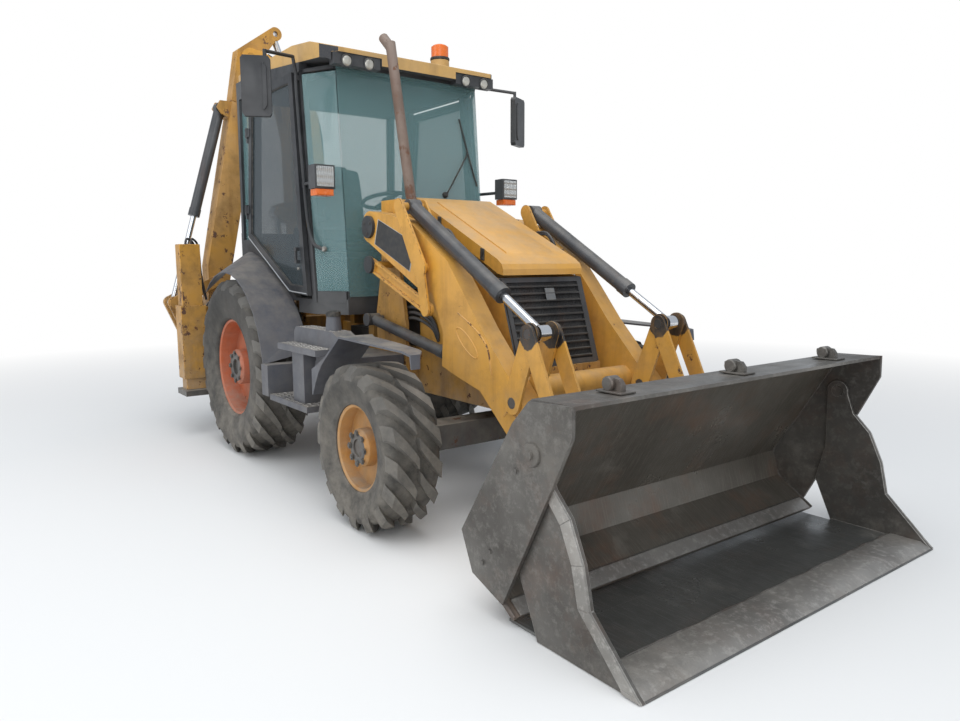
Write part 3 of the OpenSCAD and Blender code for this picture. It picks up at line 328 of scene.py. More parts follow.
def repaint(node, paint, test):
    """Gives the faces of a dressed piece whose middle and normal pass a test another paint."""
    mesh = bpy.data.objects["dressed_" + node].data
    mesh.materials.append(PAINT[paint])
    for face in mesh.polygons:
        if test(drawn(face.center), face.normal):
            face.material_index = len(mesh.materials) - 1


def shape(name, form, paint, angle=35):
    """A piece from a bmesh."""
    bmesh.ops.remove_doubles(form, verts=form.verts, dist=1e-6)
    bmesh.ops.recalc_face_normals(form, faces=form.faces)
    mesh = bpy.data.meshes.new(name)
    form.to_mesh(mesh)
    form.free()
    piece = new_piece(name, mesh, (paint,))
    smooth(mesh, angle)
    return piece


def prism(form, near, far):
    """A closed body between two outlines with as many corners."""
    near, far = ([form.verts.new(corner) for corner in outline] for outline in (near, far))
    form.faces.new(near)
    form.faces.new(far[::-1])
    for k in range(len(near)):
        after = (k + 1) % len(near)
        form.faces.new((near[k], far[k], far[after], near[after]))


def plate(name, corners, depth, paint, node, edge=0.002):
    """A flat plate from its corners, as deep as the vector says, with softened edges."""
    form = bmesh.new()
    prism(form, corners, [corner + Vector(depth) for corner in corners])
    return settle(rounded(shape(name, form, paint), edge), node)


def slab(name, xs, ys, z, thick, paint, node, edge):
    """A level plate between two x and two y, with z under it."""
    corners = [at(x, y, z) for x, y in ((xs[0], ys[0]), (xs[1], ys[0]), (xs[1], ys[1]), (xs[0], ys[1]))]
    return plate(name, corners, (0, 0, thick), paint, node, edge)


def turned(name, centre, axis, profile, paint, node, steps=32, ring=False):
    """A round piece from (radius, along) points, turned about an axis through a place, open only as a ring."""
    form = bmesh.new()
    turn = Vector((0, 0, 1)).rotation_difference(Vector(axis)).to_matrix()
    rows = []
    for r, h in profile if ring else (*profile, (0, profile[-1][1])):
        r, h, count = r / 1000, h / 1000, steps if r else 1
        rows.append([form.verts.new(centre + turn @ Vector((r * cos(a), r * sin(a), h)))
                     for a in (2 * pi * k / steps for k in range(count))])
    for low, high in zip(rows, rows[1:]):
        for k in range(steps):
            corners = (low[k % len(low)], low[(k + 1) % len(low)], high[(k + 1) % len(high)], high[k % len(high)])
            form.faces.new(dict.fromkeys(corners))
    return settle(shape(name, form, paint, 40), node)


def lathe(form, profile, centre, steps):
    """Turns a profile of (radius, sideways) sizes about a wheel's axle."""
    rows = []
    for a in (2 * pi * k / steps for k in range(steps)):
        rows.append([form.verts.new(centre + Vector((r * cos(a), y, r * sin(a)))) for r, y in profile])
    for first, second in zip(rows, rows[1:] + rows[:1]):
        for i in range(len(profile) - 1):
            form.faces.new((first[i], second[i], second[i + 1], first[i + 1]))


def smooth_path(points, per=8):
    """Points along a smooth line through the given ones."""
    p = [points[0] * 2 - points[1], *points, points[-1] * 2 - points[-2]]
    out = []
    for i in range(1, len(p) - 2):
        for t in (k / per for k in range(per)):
            out.append(0.5 * ((2 * p[i]) + (p[i + 1] - p[i - 1]) * t
                              + (2 * p[i - 1] - 5 * p[i] + 4 * p[i + 1] - p[i + 2]) * t * t
                              + (3 * p[i] - p[i - 1] - 3 * p[i + 1] + p[i + 2]) * t ** 3))
    return out + [p[-2]]


def new_tree(name, **inputs):
    """The nodes of a new geometry tree, and its inputs by name."""
    tree = bpy.data.node_groups.new(name, "GeometryNodeTree")
    for label, kind in inputs.items():
        tree.interface.new_socket(label, in_out="INPUT", socket_type="NodeSocket" + kind)
    tree.interface.new_socket("Result", in_out="OUTPUT", socket_type="NodeSocketGeometry")
    nodes = Nodes(tree)
    return nodes, nodes.add("NodeGroupInput").outputs


def ended(nodes, given, result):
    """Ends a tree: makes copies real and paints them."""
    real = nodes.add("GeometryNodeRealizeInstances", {0: result})
    paint = nodes.add("GeometryNodeSetMaterial", {0: real.outputs[0], "Material": given["Material"]})
    nodes.add("NodeGroupOutput", {0: paint.outputs[0]})
    return nodes.tree


@functools.cache
def sweep_tree():
    """Geometry nodes that turn a line of points into a round hose or pipe."""
    nodes, given = new_tree("Hose along a path", Path="Geometry", Radius="Float", Sides="Int", Material="Material")
    line = nodes.add("GeometryNodeMeshToCurve", {"Mesh": given["Path"]})
    ring = nodes.add("GeometryNodeCurvePrimitiveCircle", {"Resolution": given["Sides"], "Radius": given["Radius"]})
    body = nodes.add("GeometryNodeCurveToMesh", {"Curve": line.outputs[0], "Profile Curve": ring.outputs[0],
                                                 "Fill Caps": True})
    return ended(nodes, given, body.outputs[0])


@functools.cache
def ring_tree():
    """Geometry nodes that repeat a shape round a wheel's axle."""
    nodes, given = new_tree("Copies round an axle", Shape="Geometry", Count="Int", Material="Material")
    points = nodes.add("GeometryNodePoints", {"Count": given["Count"]})
    share = nodes.maths("DIVIDE", nodes.add("GeometryNodeInputIndex").outputs[0], given["Count"])
    angles = nodes.add("CombineXYZ", {"Y": nodes.times(share, 2 * pi)})
    copies = nodes.add("GeometryNodeInstanceOnPoints", {"Points": points.outputs[0], "Instance": given["Shape"],
                                                        "Rotation": angles.outputs[0]})
    return ended(nodes, given, copies.outputs[0])


@functools.cache
def bolt_tree():
    """Geometry nodes that set a hexagon bolt with its washer on each point."""
    nodes, given = new_tree("Bolts on points", Points="Geometry", Radius="Float", Turn="Vector",
                            Material="Material")
    points = nodes.add("GeometryNodeMeshToPoints", {0: given["Points"]})
    join = nodes.add("GeometryNodeJoinGeometry")
    for sides, wide, tall in ((6, 1.0, 1.1), (16, 1.45, 0.3)):
        head = nodes.add("GeometryNodeMeshCylinder", {"Vertices": sides, "Radius": nodes.times(given["Radius"], wide),
                                                      "Depth": nodes.times(given["Radius"], tall)})
        nodes.feed(join, {0: head.outputs[0]})
    copies = nodes.add("GeometryNodeInstanceOnPoints", {"Points": points.outputs[0], "Instance": join.outputs[0],
                                                        "Rotation": given["Turn"]})
    return ended(nodes, given, copies.outputs[0])


def through(piece, tree, **values):
    """Runs a piece through a node tree and leaves a plain mesh."""
    nodes = piece.modifiers.new("Nodes", "NODES")
    nodes.node_group = tree
    for item in tree.interface.items_tree:
        if item.in_out == "INPUT" and item.name in values:
            nodes[item.identifier] = values[item.name]
    bake(piece)
    smooth(piece.data, 35)


def hose(name, points, radius, paint, node, sides=10):
    """A hose or pipe through points, fixed at both ends."""
    path = smooth_path(points)
    mesh = bpy.data.meshes.new(name)
    mesh.from_pydata(path, [(i, i + 1) for i in range(len(path) - 1)], [])
    piece = new_piece(name, mesh)
    through(piece, sweep_tree(), Radius=radius, Sides=sides, Material=PAINT[paint])
    return settle(piece, node)


def bolts(name, points, direction, radius, paint, node):
    """Bolts with washers at places, all facing one way."""
    mesh = bpy.data.meshes.new(name)
    mesh.from_pydata(points, [], [])
    piece = new_piece(name, mesh)
    turn = Vector((0, 0, 1)).rotation_difference(Vector(direction)).to_euler()
    through(piece, bolt_tree(), Radius=radius, Turn=tuple(turn), Material=PAINT[paint])
    return settle(piece, node)


# Colours and sizes that a user would change
def colour_choice(name, description, default):
    return bpy.props.FloatVectorProperty(name=name, description=description, subtype="COLOR", default=default)


def size_choice(name, description, default):
    return bpy.props.FloatProperty(name=name, description=description, subtype="DISTANCE", default=default)


class BackhoeColours(bpy.types.PropertyGroup):
    """Colours of the main finishes"""
    yellow: colour_choice("Yellow paint", "Arms, chassis and digging arm", (0.66, 0.33, 0.045))
    # The bonnet colour is a paler copy of the yellow: partly sun-faded paint, and partly painted light from the sky
    # above on the bonnet's top.
    bonnet: colour_choice("Faded bonnet", "Sun-bleached top of the bonnet", (0.66, 0.38, 0.13))
    black: colour_choice("Black paint", "Cab frame, rams and grille", (0.016, 0.018, 0.021))
    plastic: colour_choice("Fender plastic", "Fenders, tanks and steps", (0.06, 0.066, 0.085))
    # The glass colour is partly a real tint and partly a painted reflection of a pale blue sky, laid on the panes as a
    # see-through film.
    glass: colour_choice("Glass tint", "Cab glass", (0.20, 0.36, 0.37))
    steel: colour_choice("Bucket steel", "Dark scale on the buckets", (0.085, 0.078, 0.07))


class BackhoeSizes(bpy.types.PropertyGroup):
    """Sizes of the added details"""
    rounding: size_choice("Edge rounding", "Rounding of plate edges", 0.004)
    lug: size_choice("Lug height", "Height of the tyres' lugs", 0.032)


PAINT = {}


def mix_paints(colours):
    """Makes every material once."""
    y = tuple(colours.yellow)
    faded = blend(y, 0.9, (0.03, 0.03, 0.03), 1)
    pin_mark = (at(3031, 0, 1153), 0.085, (0.02, 0.02, 0.021))
    tyre = {"grime": 0.1, "chips": 0.0, "dust": 0.5, "streaks": 0.0, "rough": (0.6, 0.9)}
    rim = {"chips": 0.35, "dust": 0.5, "low_dust": 0.6}
    clear = {"speckle": 0.05, "scale": 3, "bump": 0.0}
    PAINT.update(
        yellow=worn("worn_yellow_paint", y, faded, grime=0.45, chips=0.32),
        lever=worn("lever_paint", y, faded, chips=0.4, marks=[pin_mark]),
        yellow_edge=worn("chipped_yellow_edge", y, grime=0.8, chips=0.9, chip_scale=24),
        dirty_yellow=worn("dirty_yellow_paint", tuple(c * 0.75 for c in y), grime=0.8, chips=0.6, streaks=0.6,
                          low_dust=0.7),
        # Paler bonnet paint, mixed back into the yellow by noise: sun fading, and painted light from above.
        bonnet=worn("faded_and_sky_lit_bonnet_paint", tuple(colours.bonnet), y, grime=0.2, chips=0.25, dust=0.5, streaks=0.1,
                    rough=(0.38, 0.55)),
        roof=worn("roof_paint", (0.55, 0.33, 0.10), grime=0.3, chips=0.1, dust=0.5),
        black=worn("satin_black_paint", tuple(colours.black), grime=0.1, chips=0.12, dust=0.25, streaks=0.05,
                   chip_colour=(0.10, 0.09, 0.08)),
        ram=worn("black_ram_paint", (0.03, 0.033, 0.038), grime=0.2, chips=0.35, dust=0.5,
                 chip_colour=(0.12, 0.10, 0.085), rough=(0.3, 0.5)),
        plastic=worn("dusty_fender_plastic", tuple(colours.plastic), grime=0.15, chips=0.15, dust=0.75, streaks=0.1,
                     chip_colour=(0.16, 0.16, 0.17), rough=(0.35, 0.6)),
        casting=worn("dark_casting", (0.035, 0.034, 0.033), grime=0.2, chips=0.5, dust=0.8),
        rust=worn("burnt_exhaust_steel", (0.12, 0.075, 0.055), (0.20, 0.15, 0.12), grime=0.4, chips=0.7, dust=0.2,
                  low_dust=0.0, rough=(0.5, 0.8)),
        steel=scraped("scraped_bucket_steel", tuple(colours.steel), (0.17, 0.162, 0.148), 0.25),
        board_face=scraped("board_face_steel", (0.115, 0.102, 0.083), (0.20, 0.182, 0.155), 0.45, (0.25, 0.5),
                           (0.25, 6, 0.25)),
        floor_steel=scraped("bucket_floor_steel", (0.095, 0.097, 0.092), (0.17, 0.172, 0.165), 0.15, (0.2, 0.5),
                            (0.3, 5, 1)),
        bright=scraped("ground_steel", (0.20, 0.19, 0.175), (0.42, 0.40, 0.37), 0.15, (0.2, 0.5)),
        chrome=plain("chrome_rod", (0.72, 0.73, 0.75), 0.08, 1.0, speckle=0.06, bump=0.01),
        rubber=worn("dusty_tyre_rubber", (0.022, 0.022, 0.021), (0.05, 0.047, 0.043), low_dust=0.75, **tyre),
        tread=worn("worn_tread_rubber", (0.05, 0.048, 0.045), (0.12, 0.115, 0.105), low_dust=0.8, bump=0.4, **tyre),
        hose=worn("hydraulic_hose", (0.02, 0.02, 0.021), grime=0.1, chips=0.0, dust=0.4, low_dust=0.1),
        seal=plain("rubber_seal", (0.012, 0.012, 0.012), 0.55, speckle=0.25),
        rim_yellow=worn("front_rim_paint", (0.55, 0.25, 0.035), **rim),
        rim_red=worn("rear_rim_paint", (0.50, 0.11, 0.03), grime=0.4, **rim),
        # Teal film on the cab glass: partly tint, and partly a painted reflection of the sky.
        glass=plain("tinted_glass", tuple(colours.glass), 0.02, alpha=0.34, **clear),
        door_glass=plain("door_glass", (0.045, 0.062, 0.07), 0.02, alpha=0.62, **clear),
        lens=plain("clear_lens", (0.50, 0.49, 0.44), 0.1, 0.4, speckle=0.2, scale=120, bump=0.25),
        ribbed=ribbed_lens("ribbed_head_lens", (0.52, 0.53, 0.52)),
        amber=plain("amber_lens", (0.75, 0.16, 0.02), 0.15, speckle=0.1),
        mirror=plain("mirror_glass", (0.62, 0.66, 0.70), 0.03, 1.0, speckle=0.02, bump=0.0),
        fabric=plain("seat_fabric", (0.03, 0.032, 0.037), 0.85, speckle=0.3, scale=220, bump=0.3),
        lining=plain("cab_lining", (0.035, 0.037, 0.042), 0.8, speckle=0.1, scale=90, bump=0.1),
        pale_seal=plain("pale_edge_seal", (0.34, 0.36, 0.38), 0.5, speckle=0.4),
        dial=plain("dial_face", (0.10, 0.105, 0.11), 0.2, speckle=0.1),
        plate_grey=plain("bare_plate", (0.16, 0.165, 0.17), 0.35, 0.3, speckle=0.4),
        plate_pale=plain("pale_outline", (0.42, 0.42, 0.40), 0.45, speckle=0.3),
        plate_black=plain("bare_black_plate", (0.018, 0.018, 0.019), 0.35, speckle=0.12),
        mesh=worn("grille_mesh", (0.018, 0.018, 0.02), grime=0.2, chips=0.25, dust=0.3),
    )


# Operators
class BACKHOE_OT_paints(bpy.types.Operator):
    """Mixes the paints and other finishes"""
    bl_idname = "backhoe.paints"
    bl_label = "Mix the finishes"

    def execute(self, context):
        mix_paints(context.scene.backhoe_colours)
        return {"FINISHED"}


def treads(name, xs, ys, z, count, node):
    """Rows of raised bars on a step between two x and two y, leaning by turns to each side."""
    long, wide, tall, taper = 0.013, 0.004, 0.0035, 0.7
    bar = [Vector(c) for c in ((-long, -wide, 0), (long, -wide, 0), (long, wide, 0), (-long, wide, 0))]
    form = bmesh.new()
    for i in range(count[0]):
        for k in range(count[1]):
            x, y = (low + (high - low) * (step + 0.5) / steps
                    for (low, high), step, steps in ((xs, i, count[0]), (ys, k, count[1])))
            middle = at(x, y, z)
            turn = Matrix.Rotation(radians(45 if (i + k) % 2 else -45), 3, "Z")
            prism(form, [middle + turn @ c * taper + Vector((0, 0, tall)) for c in bar],
                  [middle + turn @ c for c in bar])
    return settle(shape(name, form, "bright", 20), node)


class BACKHOE_OT_bodywork(bpy.types.Operator):
    """Dresses the chassis, side panels, bonnet and grille"""
    bl_idname = "backhoe.bodywork"
    bl_label = "Chassis and bonnet"

    def execute(self, context):
        r = context.scene.backhoe_sizes.rounding
        dress("dirty_yellow", r, "chassis")
        dress("yellow", r, "side_panels")
        dress("bonnet", 0.008, "bonnet", segments=3)
        dress("casting", r, "drive_train", "knuckle_right", "knuckle_left")
        dress("mesh", 0.002, "grille")
        dress("rust", 0.002, "exhaust")
        dress("plastic", 0.008, "tanks", "fenders", segments=3)
        # Black cheeks beside the grille, and black shoulders under the bonnet's front
        repaint("side_panels", "black", lambda p, n: p[0] > 2400 or p[2] > 1440 and p[0] > 2050)
        # The bonnet's upright sides keep the plain yellow. Its top and front keep the paler paint, which is partly
        # painted light from above.
        repaint("bonnet", "yellow", lambda p, n: abs(n.y) > 0.9 and abs(p[1]) > 280)
        self.grille()
        self.steps()
        for sign, side in SIDES:
            # Rubber latches of the bonnet
            for x, z in ((1850, 1772), (2300, 1566)):
                corners = [(x + a, z + b) for a, b in ((-16, -40), (16, -46), (18, 24), (-14, 31))]
                plate(f"latch_{side}_{x}", beside(sign * 315, corners), (0, sign * 0.012, 0), "seal", "bonnet", 0.004)
            # Hoses from the chassis into the lift ram's valve
            for k in range(3):
                hose(f"chassis_hose_{side}_{k}", spots((
                    (1180 + 30 * k, 350, 1010 - 30 * k), (1260 + 20 * k, 385 + 4 * k, 1060 - 20 * k),
                    (1420, 392 + 3 * k, 1150 - 34 * k), (1620, 380 + 3 * k, 1215 - 36 * k),
                    (1790, 352, 1150 - 30 * k), (1850, 335, 1040 - 20 * k)), sign), 0.011, "hose", "chassis")
        return {"FINISHED"}

    def grille(self):
        """Fine wire behind the slats, and a bare tag"""
        count, half_width, half_wire, low, high = 46, 0.276, 0.0011, 0.034, 0.512
        lean = atan(168 / 518)
        foot = at(2640, 0, 902)
        up = Vector((-sin(lean), 0, cos(lean)))
        out = Vector((cos(lean), 0, sin(lean)))
        form = bmesh.new()
        for k in range(count):
            y = -half_width + 2 * half_width * k / (count - 1)
            form.faces.new([form.verts.new(foot + out * -0.0145 + up * h + Vector((0, s, 0))) for s, h in (
                (y - half_wire, low), (y + half_wire, low), (y + half_wire, high), (y - half_wire, high))])
        wires = shape("grille_wires", form, "mesh", 20)
        wires.modifiers.new("Thickness", "SOLIDIFY").thickness = 0.002
        settle(bake(wires), "grille")
        tag, base = 0.075, foot + up * 0.40 + out * 0.0005
        plate("grille_tag", [base + Vector((0, y, 0)) + up * z for y, z in ((0, 0), (tag, 0), (tag, tag), (0, tag))],
              out * 0.004, "plate_grey", "grille", 0.001)

    def steps(self):
        """Tread bars on both sides' steps, with the filler cap"""
        for sign, side in SIDES:
            for where, xs, inner, outer, z, count, node in (
                    ("low", (870, 1470), 870, 1095, 600, (16, 6), "tanks"),
                    ("high", (1070, 1640), 995, 1095, 980, (15, 3), "fenders"),
                    ("top", (1110, 1630), 868, 985, 1085, (14, 3), "fenders")):
                treads(f"tread_{where}_{side}", xs, (sign * inner, sign * outer), z, count, node)
        turned("filler_cap", at(1535, -925, 1186), (0, 0, 1), (
            (0, 24), (30, 24), (44, 18), (47, 10), (47, -12), (40, -14)),
            "seal", "tanks", 24)


class BACKHOE_OT_cab(bpy.types.Operator):
    """Dresses the cab, its doors, glass, mirrors and lamps"""
    bl_idname = "backhoe.cab"
    bl_label = "Cab"

    def execute(self, context):
        dress("black", 0.006, "cab_frame", "door_right", "door_left")
        dress("roof", 0.02, "cab_roof", segments=4)
        dress("glass", 0.001, "cab_glass")
        dress("door_glass", 0.001, "door_right_glass", "door_left_glass")
        # The lining below, the front hood and the roof's lower rim are dark
        repaint("cab_roof", "lining", lambda p, n: n.z < -0.5 or p[2] < 2906 and (
            1055 < p[0] < 1149 and abs(n.x) > 0.5 or abs(n.y) > 0.5))
        self.mirrors()
        self.lamps()
        self.trim()
        return {"FINISHED"}

    def mirrors(self):
        """A glass and a moulded rib on each mirror"""
        dress("black", 0.014, "mirrors", segments=3)
        face = 0.0215
        glass = [(cx + 18 * cos(a), cz + 46 * sin(a))
                 for cx, cz, start in ((66, 126, 0), (-66, 126, 90), (-66, -126, 180), (66, -126, 270))
                 for a in (radians(start + 30 * k) for k in range(4))]
        rib = ((-70, -120), (-52, -150), (-40, -150), (-40, 150), (-52, 150), (-70, 120))
        for sign, side in SIDES:
            middle = at(900, sign * 1120, 2662)
            turn = Matrix.Rotation(radians(26) * sign, 3, "Z")
            plate(f"mirror_glass_{side}", [middle + turn @ Vector((-face, a / 1000, b / 1000)) for a, b in glass],
                  turn @ Vector((-0.003, 0, 0)), "mirror", "mirrors", 0.001)
            plate(f"mirror_rib_{side}", [middle + turn @ Vector((face, sign * a / 1000, b / 1000)) for a, b in rib],
                  turn @ Vector((0.012, 0, 0)), "black", "mirrors", 0.004)

    def lamps(self):
        """Round work lamps in the roof, square head lamps over amber ones, and the beacon"""
        dress("black", 0.006, "lamps")
        repaint("lamps", "amber", lambda p, n: p[2] > 3025 or p[2] < 1998 and p[0] > 1090)
        dip = radians(10)
        look = Vector((cos(dip), 0, -sin(dip)))
        for sign, side in SIDES:
            for y in (410, 580):
                front = at(1110, sign * y, 2862) + look * 0.034
                turned(f"work_lamp_{side}_{y}", front, look, (
                    (0, 11), (16, 10), (28, 7), (34.5, 2), (34.5, -4)),
                    "lens", "lamps", 28)
                turned(f"work_bezel_{side}_{y}", front, look, (
                    (35, -4), (35.5, 7), (40, 9), (43.5, 4), (43.5, -14),
                    (35, -14)), "black", "lamps", 28, ring=True)
            for name, x, z, depth, paint, corners in (
                    ("head", 1200, 2078, 0.007, "ribbed", (
                        (-58, -66), (58, -66), (62, -62), (62, 62), (58, 66), (-58, 66), (-62, 62), (-62, -62))),
                    ("amber", 1194, 1976, 0.009, "amber", (
                        (-52, -17), (52, -17), (56, -12), (56, 13), (-56, 13), (-56, -12)))):
                plate(f"{name}_lens_{side}", [at(x, sign * (792 + a), z + b) for a, b in corners], (depth, 0, 0),
                      paint, "lamps", 0.004)
        turned("beacon_dome", at(960, 300, 3122), (0, 0, 1), (
            (0, 20), (30, 18), (52, 10), (62.5, -2), (62.5, -6)), "amber", "lamps")
        turned("beacon_base", at(960, 300, 3022), (0, 0, 1), (
            (65.5, 0), (72, 2), (74, 10), (72, 20), (65.5, 22)), "seal", "lamps",
            ring=True)

    def trim(self):
        """Grab tubes, seals, door locks and the wiper"""
        hole = ((-225, 1745), (545, 1345), (775, 1335), (742, 1600), (630, 2780), (-95, 2780))
        for sign, side in SIDES:
            door = "door_" + side
            hose(f"grab_tube_{side}", spots((
                (724, 738, 2842), (727, 764, 2800), (748, 765, 2540), (795, 765, 2150), (846, 765, 1810),
                (902, 755, 1655), (945, 724, 1612), (960, 702, 1606)), sign), 0.013, "black", "cab_frame", 12)
            turned(f"grab_foot_{side}", at(962, sign * 700, 1605), (0.5, sign * 0.86, 0), (
                (0, 20), (14, 16), (20, 6), (20, -4)), "bright", "cab_frame", 18)
            hose(f"door_seal_{side}", beside(sign * DOOR_SIDE, (
                (-283, 1725), (-240, 1695), (100, 1520), (480, 1323), (540, 1301), (640, 1295), (826, 1288))),
                0.0045, "pale_seal", door, 8)
            for k, (a, b) in enumerate(zip(hole, hole[1:] + hole[:1])):
                middle = ((a[0] + b[0]) / 2, (a[1] + b[1]) / 2)
                hose(f"glass_seal_{side}_{k}", beside(sign * DOOR_GLASS_SIDE, (a, middle, b)), 0.008, "seal", door, 8)
            turned(f"door_lock_{side}", at(710, sign * (DOOR_SIDE - 1), 1468), (0, sign, 0), (
                (0, 12), (10, 12), (12, 9), (12, -1)), "bright", door, 18)

        def on_screen(y, z, off):
            """A place so far off the leaning windscreen."""
            return at(1128 - 118 * (z - 1310) / 1540 + off, y, z)

        for name, points, radius in (
                ("arm", ((255, 2015, 6), (262, 2030, 26), (370, 2190, 30), (480, 2345, 16)), 0.006),
                ("blade", ((560, 2099, 8), (520, 2220, 10), (470, 2400, 10), (419, 2598, 8)), 0.0065)):
            hose("wiper_" + name, [on_screen(*point) for point in points], radius, "seal", "cab_glass", 8)
        turned("wiper_boss", on_screen(255, 2015, 0), (0.997, 0, 0.08), (
            (0, 30), (14, 28), (22, 16), (24, 1)), "seal", "cab_glass", 20)


def cushion(name, low, high, crown, paint, node, channels=0):
    """A crowned pad in a box, with its sides pulled in and sewn channels across it."""
    form = bmesh.new()
    bmesh.ops.create_cube(form, size=1.0)
    bmesh.ops.subdivide_edges(form, edges=form.edges, cuts=11, use_grid_fill=True)
    size = high - low
    thin = min(range(3), key=lambda i: size[i])
    wide = [i for i in range(3) if i != thin]
    for vert in form.verts:
        c = vert.co * 2
        u, v = c[wide[0]], c[wide[1]]
        full = (1 - u ** 4) * (1 - v ** 4)
        c[thin] *= (1 - crown) + crown * full
        if channels:
            c[thin] *= 1 - 0.10 * abs(cos(pi * channels * (v + 1) / 2)) ** 14
        pinch = 1 - 0.05 * c[thin] ** 2 - 0.06 * (u * v) ** 2
        for i in wide:
            c[i] *= pinch
        vert.co = Vector([low[i] + size[i] * (c[i] + 1) / 2 for i in range(3)])
    piece = shape(name, form, paint, 60)
    soft = piece.modifiers.new("Soft", "SUBSURF")
    soft.levels = soft.render_levels = 1
    settle(bake(piece), node)
    return piece


class BACKHOE_OT_cab_inside(bpy.types.Operator):
    """Builds the seat, the steering wheel, the dash and the levers"""
    bl_idname = "backhoe.cab_inside"
    bl_label = "Inside the cab"

    def execute(self, context):
        dress("seal", 0.012, "steering_column", segments=3)
        self.seat()
        for sign, side in SIDES:
            # Levers of the digging arm, on towers behind the seat
            slab(f"lever_tower_{side}", (-430, -300), (sign * 205, sign * 335), CAB_FLOOR, 0.56, "seal", "cab_frame",
                 0.02)
            hose(f"rear_lever_{side}", spots(((-360, 270, 1800), (-352, 268, 1900), (-330, 262, 2010)), sign), 0.008,
                 "black", "cab_frame")
            turned(f"rear_knob_{side}", at(-330, sign * 262, 2000), (0.2, 0, 1), (
                (0, 62), (16, 56), (24, 36), (20, 12), (12, -4)),
                "seal", "cab_frame", 18)
        # Dash with a hooded instrument panel, and the loader lever
        plate("dash_hood", beside(-170, ((720, 1500), (895, 1500), (900, 1640), (850, 1700), (700, 1680), (690, 1640),
                                         (760, 1600))), (0, 0.34, 0), "seal", "steering_column", 0.012)
        for k in range(4):
            turned(f"dial_{k}", at(706, -120 + 80 * k, 1660), (-0.9, 0, 0.42), (
                (0, 2), (26, 2), (29, 6), (33, 5), (34, -6)),
                "dial", "steering_column", 24)
        turned("wheel_hub", at(640, 0, 1990), (-0.24, 0, 0.97), (
            (0, 22), (34, 18), (46, 4), (42, -14)), "seal", "steering_column", 28)
        hose("loader_lever", spots(((330, -420, 1460), (345, -415, 1640), (360, -405, 1800), (372, -398, 1872))),
             0.009, "black", "cab_frame")
        turned("loader_knob", at(370, -400, 1862), (0.1, 0.05, 1), (
            (0, 75), (20, 68), (29, 45), (24, 15), (14, -4)), "seal", "cab_frame", 18)
        plate("side_console", beside(-520, ((120, CAB_FLOOR), (480, CAB_FLOOR), (430, 1480), (140, 1510))),
              (0, 0.2, 0), "seal", "cab_frame", 0.015)
        plate("roof_lining", spots(((-470, -660, 2868), (-470, 660, 2868), (940, 560, 2834), (940, -560, 2834))),
              (0, 0, -0.02), "lining", "cab_frame", 0.006)
        return {"FINISHED"}

    def seat(self):
        """A pan on a post, three cushions and the arm rests"""
        pan = slab("seat_pan", (-190, 285), (-235, 235), 1545, 0.05, "black", "seat", 0.01)
        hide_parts("seat")
        turned("seat_post", at(60, 0, CAB_FLOOR), (0, 0, 1), (
            (0, 0), (160, 0), (160, 20), (100, 50), (85, 100), (100, 240), (150, 293)),
            "seal", "seat", 36)
        cushion("seat_cushion", at(-150, -240, 1592), at(295, 240, 1678), 0.35, "fabric", "seat", 4)
        for name, low, high, crown, channels, foot in (
                ("seat_back", at(-55, -225, 0), at(55, 225, 640), 0.35, 5, at(-150, 0, 1690)),
                ("seat_head", at(-38, -120, 0), at(38, 120, 170), 0.4, 0, at(-257, 0, 2175))):
            pad = cushion(name, low, high, crown, "fabric", "seat", channels)
            pad.data.transform(Matrix.Translation(foot) @ Matrix.Rotation(radians(-9), 4, "Y")
                               @ Matrix.Translation(-at(0, 0, 0)))
        for sign, side in SIDES:
            cushion(f"arm_rest_{side}", at(-90, sign * 290 - 32, 1840), at(210, sign * 290 + 32, 1888), 0.35, "seal",
                    "seat")
            hose(f"arm_rest_bar_{side}", spots(((-150, 215, 1800), (-120, 262, 1805), (-60, 288, 1822),
                                                (40, 290, 1842)), sign), 0.013, "black", "seat")


def tyre_profile(r, w, rim_r):
    """Half a tyre's outline from its middle to its bead, as (radius, sideways)."""
    return [(r - 0.036, 0.0), (r - 0.037, 0.25 * w), (r - 0.042, 0.38 * w), (r - 0.055, 0.455 * w),
            (r - 0.085, 0.49 * w), (r * 0.80, 0.497 * w), (r * 0.72, 0.485 * w), (rim_r + 0.07, 0.455 * w),
            (rim_r + 0.035, 0.42 * w), (rim_r + 0.028, 0.425 * w), (rim_r + 0.016, 0.415 * w),
            (rim_r + 0.0005, 0.38 * w), (rim_r + 0.0005, 0.30 * w)]


LUG_STEPS = 6


def lug(form, r, w, side, tall):
    """One leaning tread bar, from the middle to the shoulder, bent to the tyre's round."""
    lean = 0.42 * side
    rows = []
    for k in range(LUG_STEPS + 1):
        t = k / LUG_STEPS
        a = lean * (t ** 0.9) - lean * 0.5
        half = 0.5 * (0.060 + 0.028 * t) / r
        drop = 0.0 if t < 0.75 else 0.05 * (t - 0.75) ** 2 * 16 * 0.45
        if k == LUG_STEPS:
            drop += 0.03
        top, foot = r - drop, r - tall - 0.012 - drop
        rows.append([form.verts.new((far * sin(a + da), side * w * (0.015 + 0.475 * t), far * cos(a + da)))
                     for da, far in ((-half * 1.25, foot), (-half, top), (half, top), (half * 1.25, foot))])
    for low, high in zip(rows, rows[1:]):
        for i in range(3):
            form.faces.new((low[i], low[i + 1], high[i + 1], high[i]))
    for ends in (rows[0], rows[-1]):
        form.faces.new(ends)


